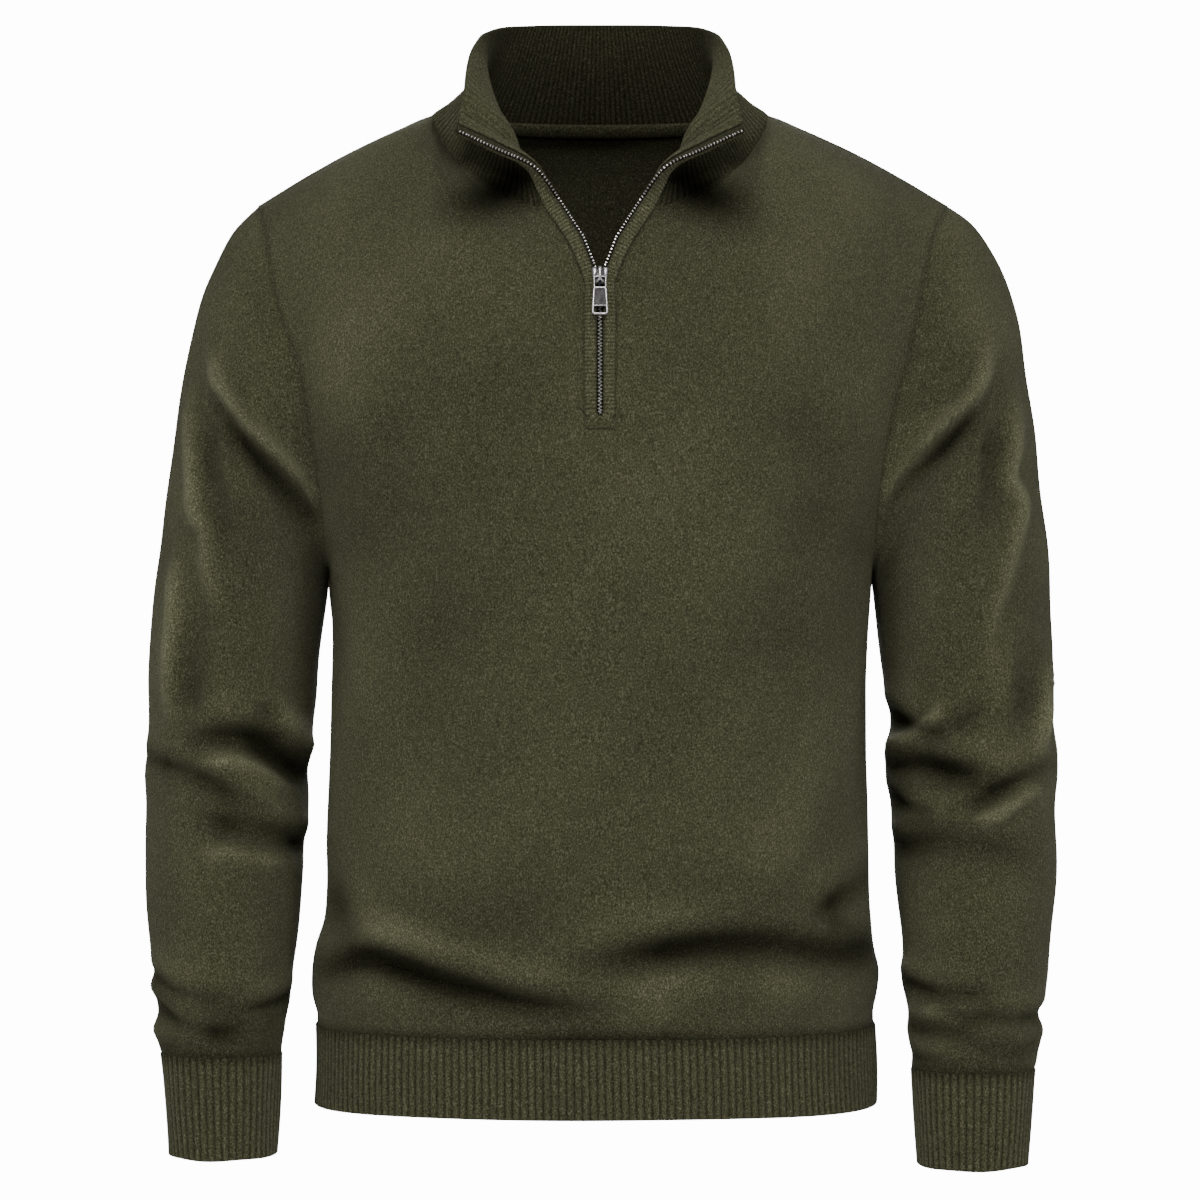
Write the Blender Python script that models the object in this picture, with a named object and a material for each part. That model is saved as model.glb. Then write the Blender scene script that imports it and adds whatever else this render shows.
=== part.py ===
"""Quarter-zip sweater, filled out as if worn, in metres with +Z up.

The origin is the middle of the neck opening, level with the points where the shoulder seams meet
the collar.  The front faces -Y.  Seen from the front, +X is on the right: the wearer's left.
Every cloth piece is a thin closed wall of its own, 0.3 mm clear of the pieces it is sewn to.
"""
from collections import namedtuple
from math import cos, pi, radians, sin

import bmesh
import bpy
import numpy as np
from mathutils import Matrix, Vector

OBJECT_NAME = "quarter_zip_sweater"

# ---------------------------------------------------------------- driving sizes
CLOTH = 0.0020            # wall of the jersey panels
RIB_CLOTH = 0.0024        # wall of the ribbed bands, without the ribs
SEAM_GAP = 0.0003         # between two pieces at a seam
LAYER_GAP = 0.0005        # between a panel and what lies on it, where the cloth twists at the zip
NECK_INSET = 0.0003       # the collar stands back this far, because its seam turns sharply
HEM_TOP = -0.626          # where the body meets the hem band
HEM_BOTTOM = -0.680
UNDERARM = -0.316
CHEST = -0.211            # level of the zip's lower end, where the yoke starts to lean back
SLIT_END = -0.2135        # lowest point of the slit in the front panel
V_START = -0.120          # the slit opens into a V above the slider
SLIT_HALF = 0.0027        # half the width of the closed slit
PLACKET_HALF = 0.0102     # half the width of the placket, slit and both welts
SHOULDER_TIP_Z = -0.062
SHOULDER_TIP_Y = 0.008
SHOULDER_CROWN = 0.004    # how far the shoulder line bulges above a straight line
ROUNDNESS = 2.35          # exponent of the body's superellipse sections
SIDE_CUT = 22.0           # degrees of section left off where the armhole cuts it at chest level
ARMHOLE_REACH = {-1: -0.062, 1: 0.070}   # Y of the armhole's foremost and rearmost points
YOKE_BEND = {-1: 1.35, 1: 1.8}           # how the yoke's middle curves back: 1 straight, 2 round
SHOULDER_BEND = 2.0

COLUMNS = 12              # cells from the middle of a panel to its side
NECK_COLUMN = 8           # the column that ends at the neck point
RING_HALF = 11            # cells of a sleeve ring from underarm to shoulder
NECK_POINT_Q = 0.5        # place of the neck point along half the collar
WELT_Q = 0.030            # width of the zip's strips, along half the collar
RELAX_ROUNDS = 8          # rounds of evening out the yoke

HEM_RIBS = 196
CUFF_RIBS = 48
COLLAR_RIBS = 142
HEM_RIB_HEIGHT = 0.0009
CUFF_RIB_HEIGHT = 0.0008
COLLAR_RIB_HEIGHT = 0.0007

WELT_THICK = 0.0014
TAPE_THICK = 0.0010
FACING_THICK = 0.0012
BINDING_THICK = 0.0014
BINDING_TALL = 0.0078
PLACKET_BAR_TALL = 0.0075

# ---------------------------------------------------------------- tables
# Half widths towards -X and +X, and Y of the front and the back, of the body at height z.
BodySection = namedtuple("BodySection", "z minus_x plus_x front back")
BODY = [
    BodySection(-0.626, 0.1950, 0.1887, -0.124, 0.104),
    BodySection(-0.620, 0.1946, 0.1884, -0.127, 0.106),
    BodySection(-0.606, 0.1980, 0.1910, -0.131, 0.109),
    BodySection(-0.590, 0.1987, 0.1925, -0.132, 0.108),
    BodySection(-0.568, 0.1950, 0.1880, -0.130, 0.104),
    BodySection(-0.553, 0.1900, 0.1870, -0.129, 0.102),
    BodySection(-0.514, 0.1890, 0.1845, -0.128, 0.100),
    BodySection(-0.464, 0.1870, 0.1840, -0.129, 0.101),
    BodySection(-0.404, 0.1855, 0.1837, -0.131, 0.104),
    BodySection(-0.362, 0.1840, 0.1840, -0.1325, 0.109),
    BodySection(-0.316, 0.1870, 0.1870, -0.132, 0.113),
    BodySection(-0.211, 0.1968, 0.1972, -0.127, 0.116),
]
HEM_BOTTOM_SECTION = BodySection(-0.680, 0.1960, 0.1900, -0.124, 0.106)

# Half widths at which the armhole seam crosses height z.
ArmholePoint = namedtuple("ArmholePoint", "z minus_x plus_x")
ARMHOLE = [
    ArmholePoint(-0.316, 0.1870, 0.1870),
    ArmholePoint(-0.270, 0.1890, 0.1890),
    ArmholePoint(-0.243, 0.1925, 0.1920),
    ArmholePoint(-0.211, 0.1968, 0.1972),
    ArmholePoint(-0.180, 0.2030, 0.2055),
    ArmholePoint(-0.155, 0.2110, 0.2120),
    ArmholePoint(-0.130, 0.2195, 0.2170),
    ArmholePoint(-0.103, 0.2250, 0.2230),
    ArmholePoint(-0.075, 0.2310, 0.2320),
    ArmholePoint(-0.062, 0.2360, 0.2400),
]

# Half width of the slit and the V above it.
VPoint = namedtuple("VPoint", "z half")
V_EDGE = [
    VPoint(CHEST, SLIT_HALF),
    VPoint(V_START, SLIT_HALF),
    VPoint(-0.0935, 0.0130),
    VPoint(-0.0677, 0.0290),
]

# Sleeve rings from the cap to the wrist: the outer and the inner point in front view, then the
# middle and half the depth in Y.  "bow" is the share of the armhole's own curve still in the ring.
SleeveRing = namedtuple("SleeveRing", "outer_x outer_z inner_x inner_z middle_y depth bow")
SLEEVE = {
    -1: [
        SleeveRing(0.2550, -0.0820, 0.1875, -0.3190, 0.004, 0.066, 0.6),
        SleeveRing(0.2705, -0.1120, 0.1880, -0.3225, 0.004, 0.067, 0.3),
        SleeveRing(0.2825, -0.1550, 0.1886, -0.3280, 0.004, 0.068, 0.1),
        SleeveRing(0.2910, -0.2000, 0.1894, -0.3360, 0.003, 0.068, 0.0),
        SleeveRing(0.2980, -0.2550, 0.1910, -0.3500, 0.003, 0.068, 0.0),
        SleeveRing(0.3060, -0.3150, 0.1930, -0.3710, 0.003, 0.067, 0.0),
        SleeveRing(0.3105, -0.3700, 0.1955, -0.4000, 0.004, 0.065, 0.0),
        SleeveRing(0.3110, -0.4200, 0.1990, -0.4250, 0.005, 0.063, 0.0),
        SleeveRing(0.3148, -0.4490, 0.2005, -0.4490, 0.005, 0.062, 0.0),
        SleeveRing(0.3132, -0.4750, 0.2000, -0.4740, 0.002, 0.061, 0.0),
        SleeveRing(0.3130, -0.5080, 0.2025, -0.5060, -0.004, 0.058, 0.0),
        SleeveRing(0.3120, -0.5400, 0.2055, -0.5390, -0.012, 0.055, 0.0),
        SleeveRing(0.3080, -0.5720, 0.2085, -0.5710, -0.020, 0.052, 0.0),
        SleeveRing(0.3058, -0.5865, 0.2100, -0.5860, -0.025, 0.050, 0.0),
        SleeveRing(0.3075, -0.5970, 0.2106, -0.5965, -0.028, 0.049, 0.0),
        SleeveRing(0.3045, -0.6070, 0.2114, -0.6070, -0.030, 0.048, 0.0),
        SleeveRing(0.3025, -0.6160, 0.2135, -0.6160, -0.033, 0.046, 0.0),
        SleeveRing(0.3040, -0.6280, 0.2160, -0.6280, -0.037, 0.044, 0.0),
        SleeveRing(0.2985, -0.6425, 0.2170, -0.6425, -0.040, 0.041, 0.0),
    ],
    1: [
        SleeveRing(0.2570, -0.0740, 0.1875, -0.3190, 0.004, 0.066, 0.6),
        SleeveRing(0.2740, -0.0990, 0.1880, -0.3225, 0.004, 0.067, 0.3),
        SleeveRing(0.2870, -0.1370, 0.1888, -0.3280, 0.004, 0.068, 0.1),
        SleeveRing(0.2955, -0.1860, 0.1896, -0.3360, 0.003, 0.068, 0.0),
        SleeveRing(0.3025, -0.2430, 0.1912, -0.3500, 0.003, 0.068, 0.0),
        SleeveRing(0.3085, -0.2950, 0.1935, -0.3710, 0.003, 0.067, 0.0),
        SleeveRing(0.3125, -0.3600, 0.1965, -0.4000, 0.004, 0.065, 0.0),
        SleeveRing(0.3130, -0.4180, 0.1995, -0.4250, 0.005, 0.063, 0.0),
        SleeveRing(0.3158, -0.4490, 0.1970, -0.4490, 0.005, 0.062, 0.0),
        SleeveRing(0.3142, -0.4720, 0.1995, -0.4740, 0.002, 0.061, 0.0),
        SleeveRing(0.3146, -0.5080, 0.2020, -0.5080, -0.004, 0.058, 0.0),
        SleeveRing(0.3125, -0.5440, 0.2050, -0.5440, -0.013, 0.055, 0.0),
        SleeveRing(0.3085, -0.5770, 0.2075, -0.5770, -0.021, 0.052, 0.0),
        SleeveRing(0.3055, -0.5960, 0.2070, -0.5960, -0.026, 0.050, 0.0),
        SleeveRing(0.3030, -0.6070, 0.2100, -0.6070, -0.030, 0.049, 0.0),
        SleeveRing(0.3000, -0.6160, 0.2115, -0.6160, -0.033, 0.048, 0.0),
        SleeveRing(0.3025, -0.6270, 0.2090, -0.6270, -0.036, 0.046, 0.0),
        SleeveRing(0.2998, -0.6400, 0.2110, -0.6400, -0.040, 0.044, 0.0),
        SleeveRing(0.2955, -0.6530, 0.2120, -0.6530, -0.043, 0.041, 0.0),
    ],
}
CUFF_END = {
    -1: SleeveRing(0.2920, -0.7110, 0.2195, -0.7110, -0.050, 0.036, 0.0),
    1: SleeveRing(0.2897, -0.7175, 0.2154, -0.7175, -0.053, 0.036, 0.0),
}

# The collar's -X half, from the zip (q = 0) to the middle of the back (q = 1): its seam to the
# body, two lines a third and two thirds of the way up, and its top edge, as (x, y, z).  Beside the
# zip the cloth turns from facing forward at the seam to lying open at the top corner.
CollarGuide = namedtuple("CollarGuide", "q seam low high top")
COLLAR = [
    CollarGuide(0.000, (-0.0290, -0.0950, -0.0677), (-0.0455, -0.0940, -0.0458),
                (-0.0700, -0.0860, -0.0320), (-0.0970, -0.0760, -0.0170)),
    CollarGuide(0.045, (-0.0422, -0.0925, -0.0723), (-0.0504, -0.0815, -0.0445),
                (-0.0672, -0.0740, -0.0257), (-0.0950, -0.0695, -0.0050)),
    CollarGuide(0.090, (-0.0550, -0.0880, -0.0665), (-0.0540, -0.0730, -0.0430),
                (-0.0630, -0.0670, -0.0170), (-0.0930, -0.0635, 0.0065)),
    CollarGuide(0.150, (-0.0710, -0.0800, -0.0586), (-0.0650, -0.0660, -0.0360),
                (-0.0680, -0.0580, -0.0080), (-0.0918, -0.0475, 0.0240)),
    CollarGuide(0.350, (-0.1045, -0.0380, -0.0270), (-0.0920, -0.0300, -0.0040),
                (-0.0800, -0.0180, 0.0240), (-0.0845, -0.0090, 0.0515)),
    CollarGuide(0.500, (-0.1165, -0.0030, -0.0010), (-0.0990, 0.0030, 0.0125),
                (-0.0810, 0.0100, 0.0345), (-0.0781, 0.0170, 0.0602)),
    CollarGuide(0.620, (-0.1080, 0.0340, -0.0030), (-0.0910, 0.0360, 0.0130),
                (-0.0760, 0.0380, 0.0390), (-0.0680, 0.0380, 0.0660)),
    CollarGuide(0.750, (-0.0800, 0.0610, -0.0065), (-0.0680, 0.0560, 0.0170),
                (-0.0570, 0.0530, 0.0430), (-0.0490, 0.0550, 0.0690)),
    CollarGuide(0.880, (-0.0400, 0.0730, -0.0080), (-0.0350, 0.0670, 0.0175),
                (-0.0300, 0.0630, 0.0440), (-0.0250, 0.0635, 0.0705)),
    CollarGuide(1.000, (0.0, 0.0760, -0.0085), (0.0, 0.0700, 0.0175),
                (0.0, 0.0665, 0.0440), (0.0, 0.0680, 0.0710)),
]

# The largest folds.  Each runs over a curve of three points in front view (x, z) on the given
# face (-1 front, 1 back) of a panel, and moves the cloth out (ridge) or in (trough, negative).
Fold = namedtuple("Fold", "face start middle end width height")
BODY_FOLDS = [
    Fold(-1, (-0.186, -0.574), (-0.110, -0.566), (0.012, -0.606), 0.011, -0.0060),
    Fold(-1, (-0.178, -0.556), (-0.095, -0.553), (0.000, -0.586), 0.013, 0.0035),
    Fold(-1, (-0.007, -0.576), (0.072, -0.557), (0.170, -0.582), 0.010, -0.0045),
    Fold(-1, (0.020, -0.594), (0.085, -0.580), (0.160, -0.598), 0.011, 0.0030),
    Fold(-1, (0.186, -0.538), (0.150, -0.552), (0.182, -0.580), 0.009, -0.0035),
    Fold(1, (-0.182, -0.582), (-0.080, -0.566), (0.020, -0.600), 0.011, -0.0050),
    Fold(1, (0.182, -0.572), (0.110, -0.560), (0.040, -0.588), 0.011, -0.0050),
    Fold(1, (-0.120, -0.548), (-0.020, -0.556), (0.090, -0.542), 0.014, 0.0030),
]
SLEEVE_FOLDS = {
    -1: [
        Fold(-1, (-0.266, -0.165), (-0.242, -0.222), (-0.198, -0.262), 0.010, 0.0040),
        Fold(-1, (-0.252, -0.212), (-0.228, -0.258), (-0.192, -0.288), 0.009, -0.0035),
        Fold(-1, (-0.270, -0.434), (-0.238, -0.424), (-0.202, -0.458), 0.011, -0.0065),
        Fold(-1, (-0.288, -0.452), (-0.250, -0.446), (-0.206, -0.480), 0.011, 0.0030),
        Fold(-1, (-0.262, -0.486), (-0.236, -0.494), (-0.206, -0.506), 0.009, -0.0035),
        Fold(1, (-0.282, -0.440), (-0.250, -0.452), (-0.206, -0.446), 0.011, -0.0050),
        Fold(1, (-0.272, -0.200), (-0.240, -0.236), (-0.200, -0.276), 0.011, 0.0040),
    ],
    1: [
        Fold(-1, (0.266, -0.160), (0.236, -0.218), (0.196, -0.254), 0.010, 0.0040),
        Fold(-1, (0.258, -0.196), (0.232, -0.246), (0.192, -0.270), 0.009, -0.0035),
        Fold(-1, (0.200, -0.452), (0.240, -0.446), (0.276, -0.462), 0.011, -0.0060),
        Fold(-1, (0.308, -0.462), (0.286, -0.482), (0.252, -0.488), 0.010, 0.0045),
        Fold(-1, (0.202, -0.472), (0.220, -0.484), (0.244, -0.496), 0.009, -0.0035),
        Fold(1, (0.204, -0.450), (0.246, -0.446), (0.284, -0.460), 0.011, -0.0050),
        Fold(1, (0.272, -0.196), (0.240, -0.232), (0.198, -0.272), 0.011, 0.0040),
    ],
}

# Rows of the panels: levels run 0 hem, 1 underarm, 2 chest, 3 neck and shoulder.
BODY_ROWS = [-0.626, -0.618, -0.606, -0.590, -0.573, -0.555, -0.532, -0.498, -0.458, -0.412, -0.362]
ARMHOLE_LEVELS = [1.0, 1.2, 1.4, 1.6, 1.8, 2.0]
YOKE_LEVELS = [2 + step / 6 for step in range(1, 7)]
YOKE_CLIMB = [0.0, 0.15, 0.33, 0.49, 0.635, 0.82, 1.0]   # of the slit's rows, chest to neck
COLLAR_HEIGHTS = [0.0, 0.12, 0.25, 0.4, 0.6, 0.8, 1.0]

# Zip hardware
SLIDER_WIDTH = 0.0113
SLIDER_WAIST = 0.0078
SLIDER_TALL = 0.0120
SLIDER_PLATE = 0.0012
SLIDER_LIFT = 0.0022      # underside of the front plate above the panel's face
AXIS_ABOVE_PLATE = 0.0015
AXIS_BELOW_SLIDER = 0.0015
BRIDGE_WIDTH = 0.0021
BRIDGE_BAR = 0.0011
BRIDGE_SPAN = (-0.0058, 0.0042)
PULL_THICK = 0.0016
LINK_WIDTH = 0.0088
LINK_BAR = 0.0016
LINK_TALL = 0.0081
TAB_TOP_WIDTH = 0.0093
TAB_BOTTOM_WIDTH = 0.0109
TAB_TALL = 0.0190
TAB_HOLE = (0.0077, 0.0042)
TAB_HOLE_ABOVE_END = 0.0018
TAB_RIM = 0.0014
TAB_RECESS_DEPTH = 0.0004

OLIVE = (0.056, 0.054, 0.030, 1.0)
DARK_OLIVE = (0.040, 0.039, 0.022, 1.0)
GUNMETAL = (0.36, 0.35, 0.34, 1.0)


# ---------------------------------------------------------------- small helpers
def mix(first, second, share):
    """Linear mix of two values or points."""
    return first + (second - first) * share


def ease(share):
    """Smooth step from 0 to 1."""
    share = min(max(share, 0.0), 1.0)
    return share * share * (3 - 2 * share)


def unit(vectors):
    """Vectors scaled to length 1 along the last axis."""
    return vectors / np.maximum(np.linalg.norm(vectors, axis=-1, keepdims=True), 1e-12)


def smooth(knots, values, at):
    """Cubic curve through the values at rising knots."""
    knots = np.asarray(knots, float)
    values = np.asarray(values, float)
    slopes = np.gradient(values, knots, axis=0)
    at = min(max(at, knots[0]), knots[-1])
    cell = int(min(max(np.searchsorted(knots, at, side="right") - 1, 0), len(knots) - 2))
    span = knots[cell + 1] - knots[cell]
    f = (at - knots[cell]) / span
    return ((2 * f ** 3 - 3 * f ** 2 + 1) * values[cell] + (f ** 3 - 2 * f ** 2 + f) * span * slopes[cell]
            + (3 * f ** 2 - 2 * f ** 3) * values[cell + 1] + (f ** 3 - f ** 2) * span * slopes[cell + 1])


def read(table, field, z):
    """One field of a table whose rows rise in z, read smoothly at height z."""
    return float(smooth([row.z for row in table], [getattr(row, field) for row in table], z))


def side_field(side):
    """Name of the half width field on this side."""
    return "minus_x" if side < 0 else "plus_x"


# ---------------------------------------------------------------- collar surface
def mirrored_guides():
    """Lines of the whole collar: q runs 0 to 2 from the -X zip edge to the +X one."""
    lines = np.array([guide[1:] for guide in COLLAR])
    flipped = lines[-2::-1] * (-1, 1, 1)
    qs = [guide.q for guide in COLLAR]
    return qs + [2 - q for q in qs[-2::-1]], np.concatenate([lines, flipped])


GUIDE_Q, GUIDE_LINES = mirrored_guides()


def collar_point(q, height):
    """Outer face of the collar: q along it (0 to 2), height 0 at the seam to 1 at the top."""
    return smooth(np.linspace(0, 1, 4), smooth(GUIDE_Q, GUIDE_LINES, q), height)


def neck_point(side, q):
    """Neck seam at q (0 zip, 1 middle of the back) on the given side."""
    point = collar_point(q, 0.0)
    return np.array([point[0] * -side, point[1], point[2]])


# ---------------------------------------------------------------- body surface
def column_x(face, column, climb, inner, edge):
    """X of a column: even at chest level, closer together towards the side below it."""
    if face < 0:
        if column <= 1:
            return mix(inner, PLACKET_HALF, column)
        share = (column - 1) / (COLUMNS - 1)
        start = PLACKET_HALF
    else:
        share = column / COLUMNS
        start = 0.0
    return start + (edge - start) * mix(sin(share * pi / 2), share, ease(climb))


def section_point(face, side, column, section, climb=0.0, inner=0.0, z=0.0):
    """Point of a superellipse section; climb cuts it off at the armhole as it rises."""
    edge = getattr(section, side_field(side))
    middle = section.front if face < 0 else section.back
    edge_y = ARMHOLE_REACH[face] * sin(climb * pi / 2)
    even_y = ARMHOLE_REACH[face] * (1 - cos(climb * pi / 2))
    turn = radians(90 - SIDE_CUT * climb)
    power = 2 / ROUNDNESS
    width = edge / sin(turn) ** power
    drop = max(cos(turn), 0.0) ** power
    centre = (even_y - middle * drop) / (1 - drop)
    x = column_x(face, column, climb, inner, edge)
    y = centre + (middle - centre) * max(1 - (x / width) ** ROUNDNESS, 0.0) ** (1 / ROUNDNESS)
    y += (edge_y - even_y) * (column / COLUMNS) ** 4
    return np.array([x * side, y, z])


def body_height(level):
    """Height of a level between 0 (hem) and 2 (chest)."""
    if level <= 1:
        return mix(HEM_TOP, UNDERARM, level)
    return mix(UNDERARM, CHEST, 1 - cos((level - 1) * pi / 2))


def body_point(face, side, column, level, slit=False):
    """Point of the front (-1) or back (1) panel between the hem and the chest."""
    z = body_height(level)
    climb = max(level - 1, 0.0)
    edge_table = ARMHOLE if climb > 0 else BODY
    section = BodySection(z, read(edge_table, "minus_x", z), read(edge_table, "plus_x", z),
                          read(BODY, "front", z), read(BODY, "back", z))
    inner = SLIT_HALF if slit and face < 0 else 0.0
    return section_point(face, side, column, section, climb, inner, z)


def panel_top(face, side, column):
    """Top edge of a panel: the neck seam, then the shoulder seam."""
    if column <= NECK_COLUMN:
        if face > 0:
            q = mix(1.0, NECK_POINT_Q, column / NECK_COLUMN)
        elif column <= 1:
            q = WELT_Q * column
        else:
            q = mix(WELT_Q, NECK_POINT_Q, (column - 1) / (NECK_COLUMN - 1))
        return neck_point(side, q)
    share = (column - NECK_COLUMN) / (COLUMNS - NECK_COLUMN)
    tip_x = getattr(ARMHOLE[-1], side_field(side)) * side
    tip = np.array([tip_x, SHOULDER_TIP_Y, SHOULDER_TIP_Z])
    point = mix(neck_point(side, NECK_POINT_Q), tip, share)
    point[2] += SHOULDER_CROWN * sin(share * pi)
    return point


def leaned_point(face, side, column, rise):
    """Yoke point before the armhole and the V bend it: the chest line leans back to the top."""
    chest = body_point(face, side, column, 2.0, slit=True)
    top = panel_top(face, side, column)
    if face < 0:
        middle = float(np.interp(rise, np.linspace(0, 1, len(YOKE_CLIMB)), YOKE_CLIMB))
    else:
        middle = sin(rise * pi / 2)
    climb = mix(middle, sin(rise * pi / 2), ease((column - 1) / 4))
    bend = mix(YOKE_BEND[face], SHOULDER_BEND, ease((column - 1) / 6))
    hold = max(1 - climb ** bend, 0.0) ** (1 / bend)
    point = mix(chest, top, climb)
    point[1] = mix(top[1], chest[1], hold)
    return point


def yoke_point(face, side, column, level):
    """Point of a panel between the chest and its top edge."""
    rise = level - 2
    point = leaned_point(face, side, column, rise)
    edge = leaned_point(face, side, COLUMNS, rise)
    armhole_x = read(ARMHOLE, side_field(side), edge[2])
    point[0] += side * (armhole_x - abs(edge[0])) * (column / COLUMNS) ** 4
    if face < 0:
        slit = leaned_point(face, side, 0, rise)
        half = float(np.interp(slit[2], [row.z for row in V_EDGE], [row.half for row in V_EDGE]))
        point[0] += side * (half - abs(slit[0])) * (1 - ease((column - 1) / 3))
    return point


def panel_point(face, side, column, level, slit=False):
    """Point of the front (-1) or back (1) panel at a column and a level."""
    if level <= 2:
        return body_point(face, side, column, level, slit)
    return yoke_point(face, side, column, level)


# ---------------------------------------------------------------- folds
def fold_push(fold, points):
    """How far one fold moves each point out, from its distance to the fold's curve."""
    steps = np.linspace(0, 1, 17)[:, None]
    start, middle, end = (np.array(p) for p in (fold.start, fold.middle, fold.end))
    curve = (1 - steps) ** 2 * start + 2 * steps * (1 - steps) * middle + steps ** 2 * end
    flat = points[..., [0, 2]]
    away = np.linalg.norm(flat[..., None, :] - curve, axis=-1)
    along = steps[away.argmin(axis=-1), 0]
    taper = np.clip(np.minimum(along, 1 - along) * 5 + 0.25, 0, 1)
    return fold.height * taper * np.exp(-(away.min(axis=-1) / fold.width) ** 2)


def folded(points, folds, weights):
    """Points moved along their normals by the folds; weights say how much of each face they are."""
    push = np.zeros(points.shape[:-1])
    for fold in folds:
        push += fold_push(fold, points) * weights[fold.face]
    return points + grid_normals(points) * push[..., None]


# ---------------------------------------------------------------- grids and normals
def grid_normals(grid):
    """Outward normals of a grid whose rows go up and whose columns go anticlockwise from above."""
    along = np.gradient(grid, axis=1)
    up = np.gradient(grid, axis=0)
    return unit(np.cross(along, up))


def point_keys(grid):
    """One key for each point of a grid, the same for points in the same place."""
    return [tuple(key) for key in np.round(grid.reshape(-1, 3) * 1e5).astype(int)]


def joined_normals(grids):
    """Normals of grids, averaged over all their points that are in the same place."""
    sums = {}
    for grid in grids:
        for key, normal in zip(point_keys(grid), grid_normals(grid).reshape(-1, 3)):
            sums[key] = sums.get(key, 0) + normal
    return [unit(np.array([sums[key] for key in point_keys(grid)])).reshape(grid.shape) for grid in grids]


def shared_normals(grids):
    """Normals averaged where panels meet, and nearer each panel's own where they fold sharply."""
    shared = []
    for grid, merged in zip(grids, joined_normals(grids)):
        own = joined_normals([grid])[0]
        agree = (merged * own).sum(axis=-1, keepdims=True)
        keep = 1.5 * np.clip((0.8 - agree) / 0.5, 0, 1)
        shared.append(unit(merged + keep * own))
    return shared


def edge_view(grid, edge):
    """The grid turned so that its first row is the named edge."""
    if edge == "bottom":
        return grid
    if edge == "top":
        return grid[::-1]
    turned = grid.transpose(1, 0, 2)
    return turned if edge == "left" else turned[::-1]


def inset(grid, edges, amount=SEAM_GAP / 2):
    """The grid with the named edges drawn inward along the cloth."""
    moved = grid.copy()
    for edge in edges:
        view = edge_view(grid, edge)
        inward = view[1] - view[0]
        along = unit(np.gradient(view[0], axis=0))
        inward = unit(inward - along * (inward * along).sum(axis=-1, keepdims=True))
        edge_view(moved, edge)[0] += inward * amount
    if np.allclose(grid[:, 0], grid[:, -1]):
        moved[:, -1] = moved[:, 0]
    return moved


# ---------------------------------------------------------------- walls
def bridge(first, first_at, second, second_at):
    """Triangles between two rows of vertex numbers with rising places along them."""
    faces = []
    a = b = 0
    while a < len(first) - 1 or b < len(second) - 1:
        if b == len(second) - 1 or (a < len(first) - 1 and first_at[a + 1] <= second_at[b + 1] + 1e-9):
            faces.append((first[a], first[a + 1], second[b]))
            a += 1
        else:
            faces.append((first[a], second[b + 1], second[b]))
            b += 1
    return faces


class Wall:
    """Collects the vertices and faces of one cloth piece."""

    def __init__(self):
        self.points = []
        self.faces = []

    def add_grid(self, grid):
        """Vertex numbers of a grid of new vertices."""
        first = len(self.points)
        self.points.extend(grid.reshape(-1, 3))
        return np.arange(first, len(self.points)).reshape(grid.shape[:2])

    def skin(self, ids):
        """Triangles over a grid of vertex numbers, every cell cut the same way."""
        low, next_low, next_high, high = (corner.ravel().tolist() for corner in (
            ids[:-1, :-1], ids[:-1, 1:], ids[1:, 1:], ids[1:, :-1]))
        self.faces.extend(zip(low, next_low, next_high))
        self.faces.extend(zip(low, next_high, high))

    def rim(self, outer, outer_at, inner, inner_at):
        """Faces from a row of outer vertices to a row of inner ones."""
        self.faces.extend(bridge(outer.tolist(), outer_at, inner.tolist(), inner_at))

    def build(self, name, material, sharp=40):
        """The piece as an object in the part's collection."""
        mesh = bpy.data.meshes.new(name)
        mesh.from_pydata([tuple(point) for point in self.points], [], self.faces)
        shell = bmesh.new()
        shell.from_mesh(mesh)
        bmesh.ops.remove_doubles(shell, verts=shell.verts, dist=1e-6)
        bmesh.ops.dissolve_degenerate(shell, edges=shell.edges, dist=1e-7)
        bmesh.ops.recalc_face_normals(shell, faces=shell.faces)
        shell.to_mesh(mesh)
        shell.free()
        mesh.shade_smooth()
        mesh.set_sharp_from_angle(angle=radians(sharp))
        return add_object(name, mesh, material)


def wall_between(outer, inner, outer_at=None, inner_at=None, sides=True):
    """A wall between an outer and an inner grid with the same rows."""
    outer_at = np.arange(outer.shape[1]) if outer_at is None else outer_at
    inner_at = np.arange(inner.shape[1]) if inner_at is None else inner_at
    wall = Wall()
    outer_ids = wall.add_grid(outer)
    inner_ids = wall.add_grid(inner)
    wall.skin(outer_ids)
    wall.skin(inner_ids)
    for row in (0, -1):
        wall.rim(outer_ids[row], outer_at, inner_ids[row], inner_at)
    if sides:
        rows = np.arange(outer.shape[0])
        for column in (0, -1):
            wall.rim(outer_ids[:, column], rows, inner_ids[:, column], rows)
    return wall


def along_row(row, places):
    """Points or normals at fractional places along a row."""
    cell = np.minimum(places.astype(int), len(row) - 2)
    return mix(row[cell], row[cell + 1], (places - cell)[:, None])


def even_places(row, count):
    """Places of count + 1 points evenly spaced by length along a row."""
    steps = np.linalg.norm(np.diff(row, axis=0), axis=1)
    lengths = np.concatenate([[0], np.cumsum(steps)])
    return np.interp(np.linspace(0, lengths[-1], count + 1), lengths, np.arange(len(row)))


def ribbed_band(name, rows, normals, ribs, height, material):
    """A closed ring of ribbed cloth: fine ribs outside over a plain inside."""
    places = even_places(rows[0], 2 * ribs)
    heights = height * (np.arange(2 * ribs + 1) % 2 == 0)[:, None]
    outer = np.array([along_row(row, places) + unit(along_row(normal, places)) * heights
                      for row, normal in zip(rows, normals)])
    inner = rows - normals * RIB_CLOTH
    return wall_between(outer, inner, outer_at=places, sides=False).build(name, material)


# ---------------------------------------------------------------- scene helpers
def clear_scene():
    """Remove everything that is in the scene."""
    for obj in list(bpy.data.objects):
        bpy.data.objects.remove(obj, do_unlink=True)


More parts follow.
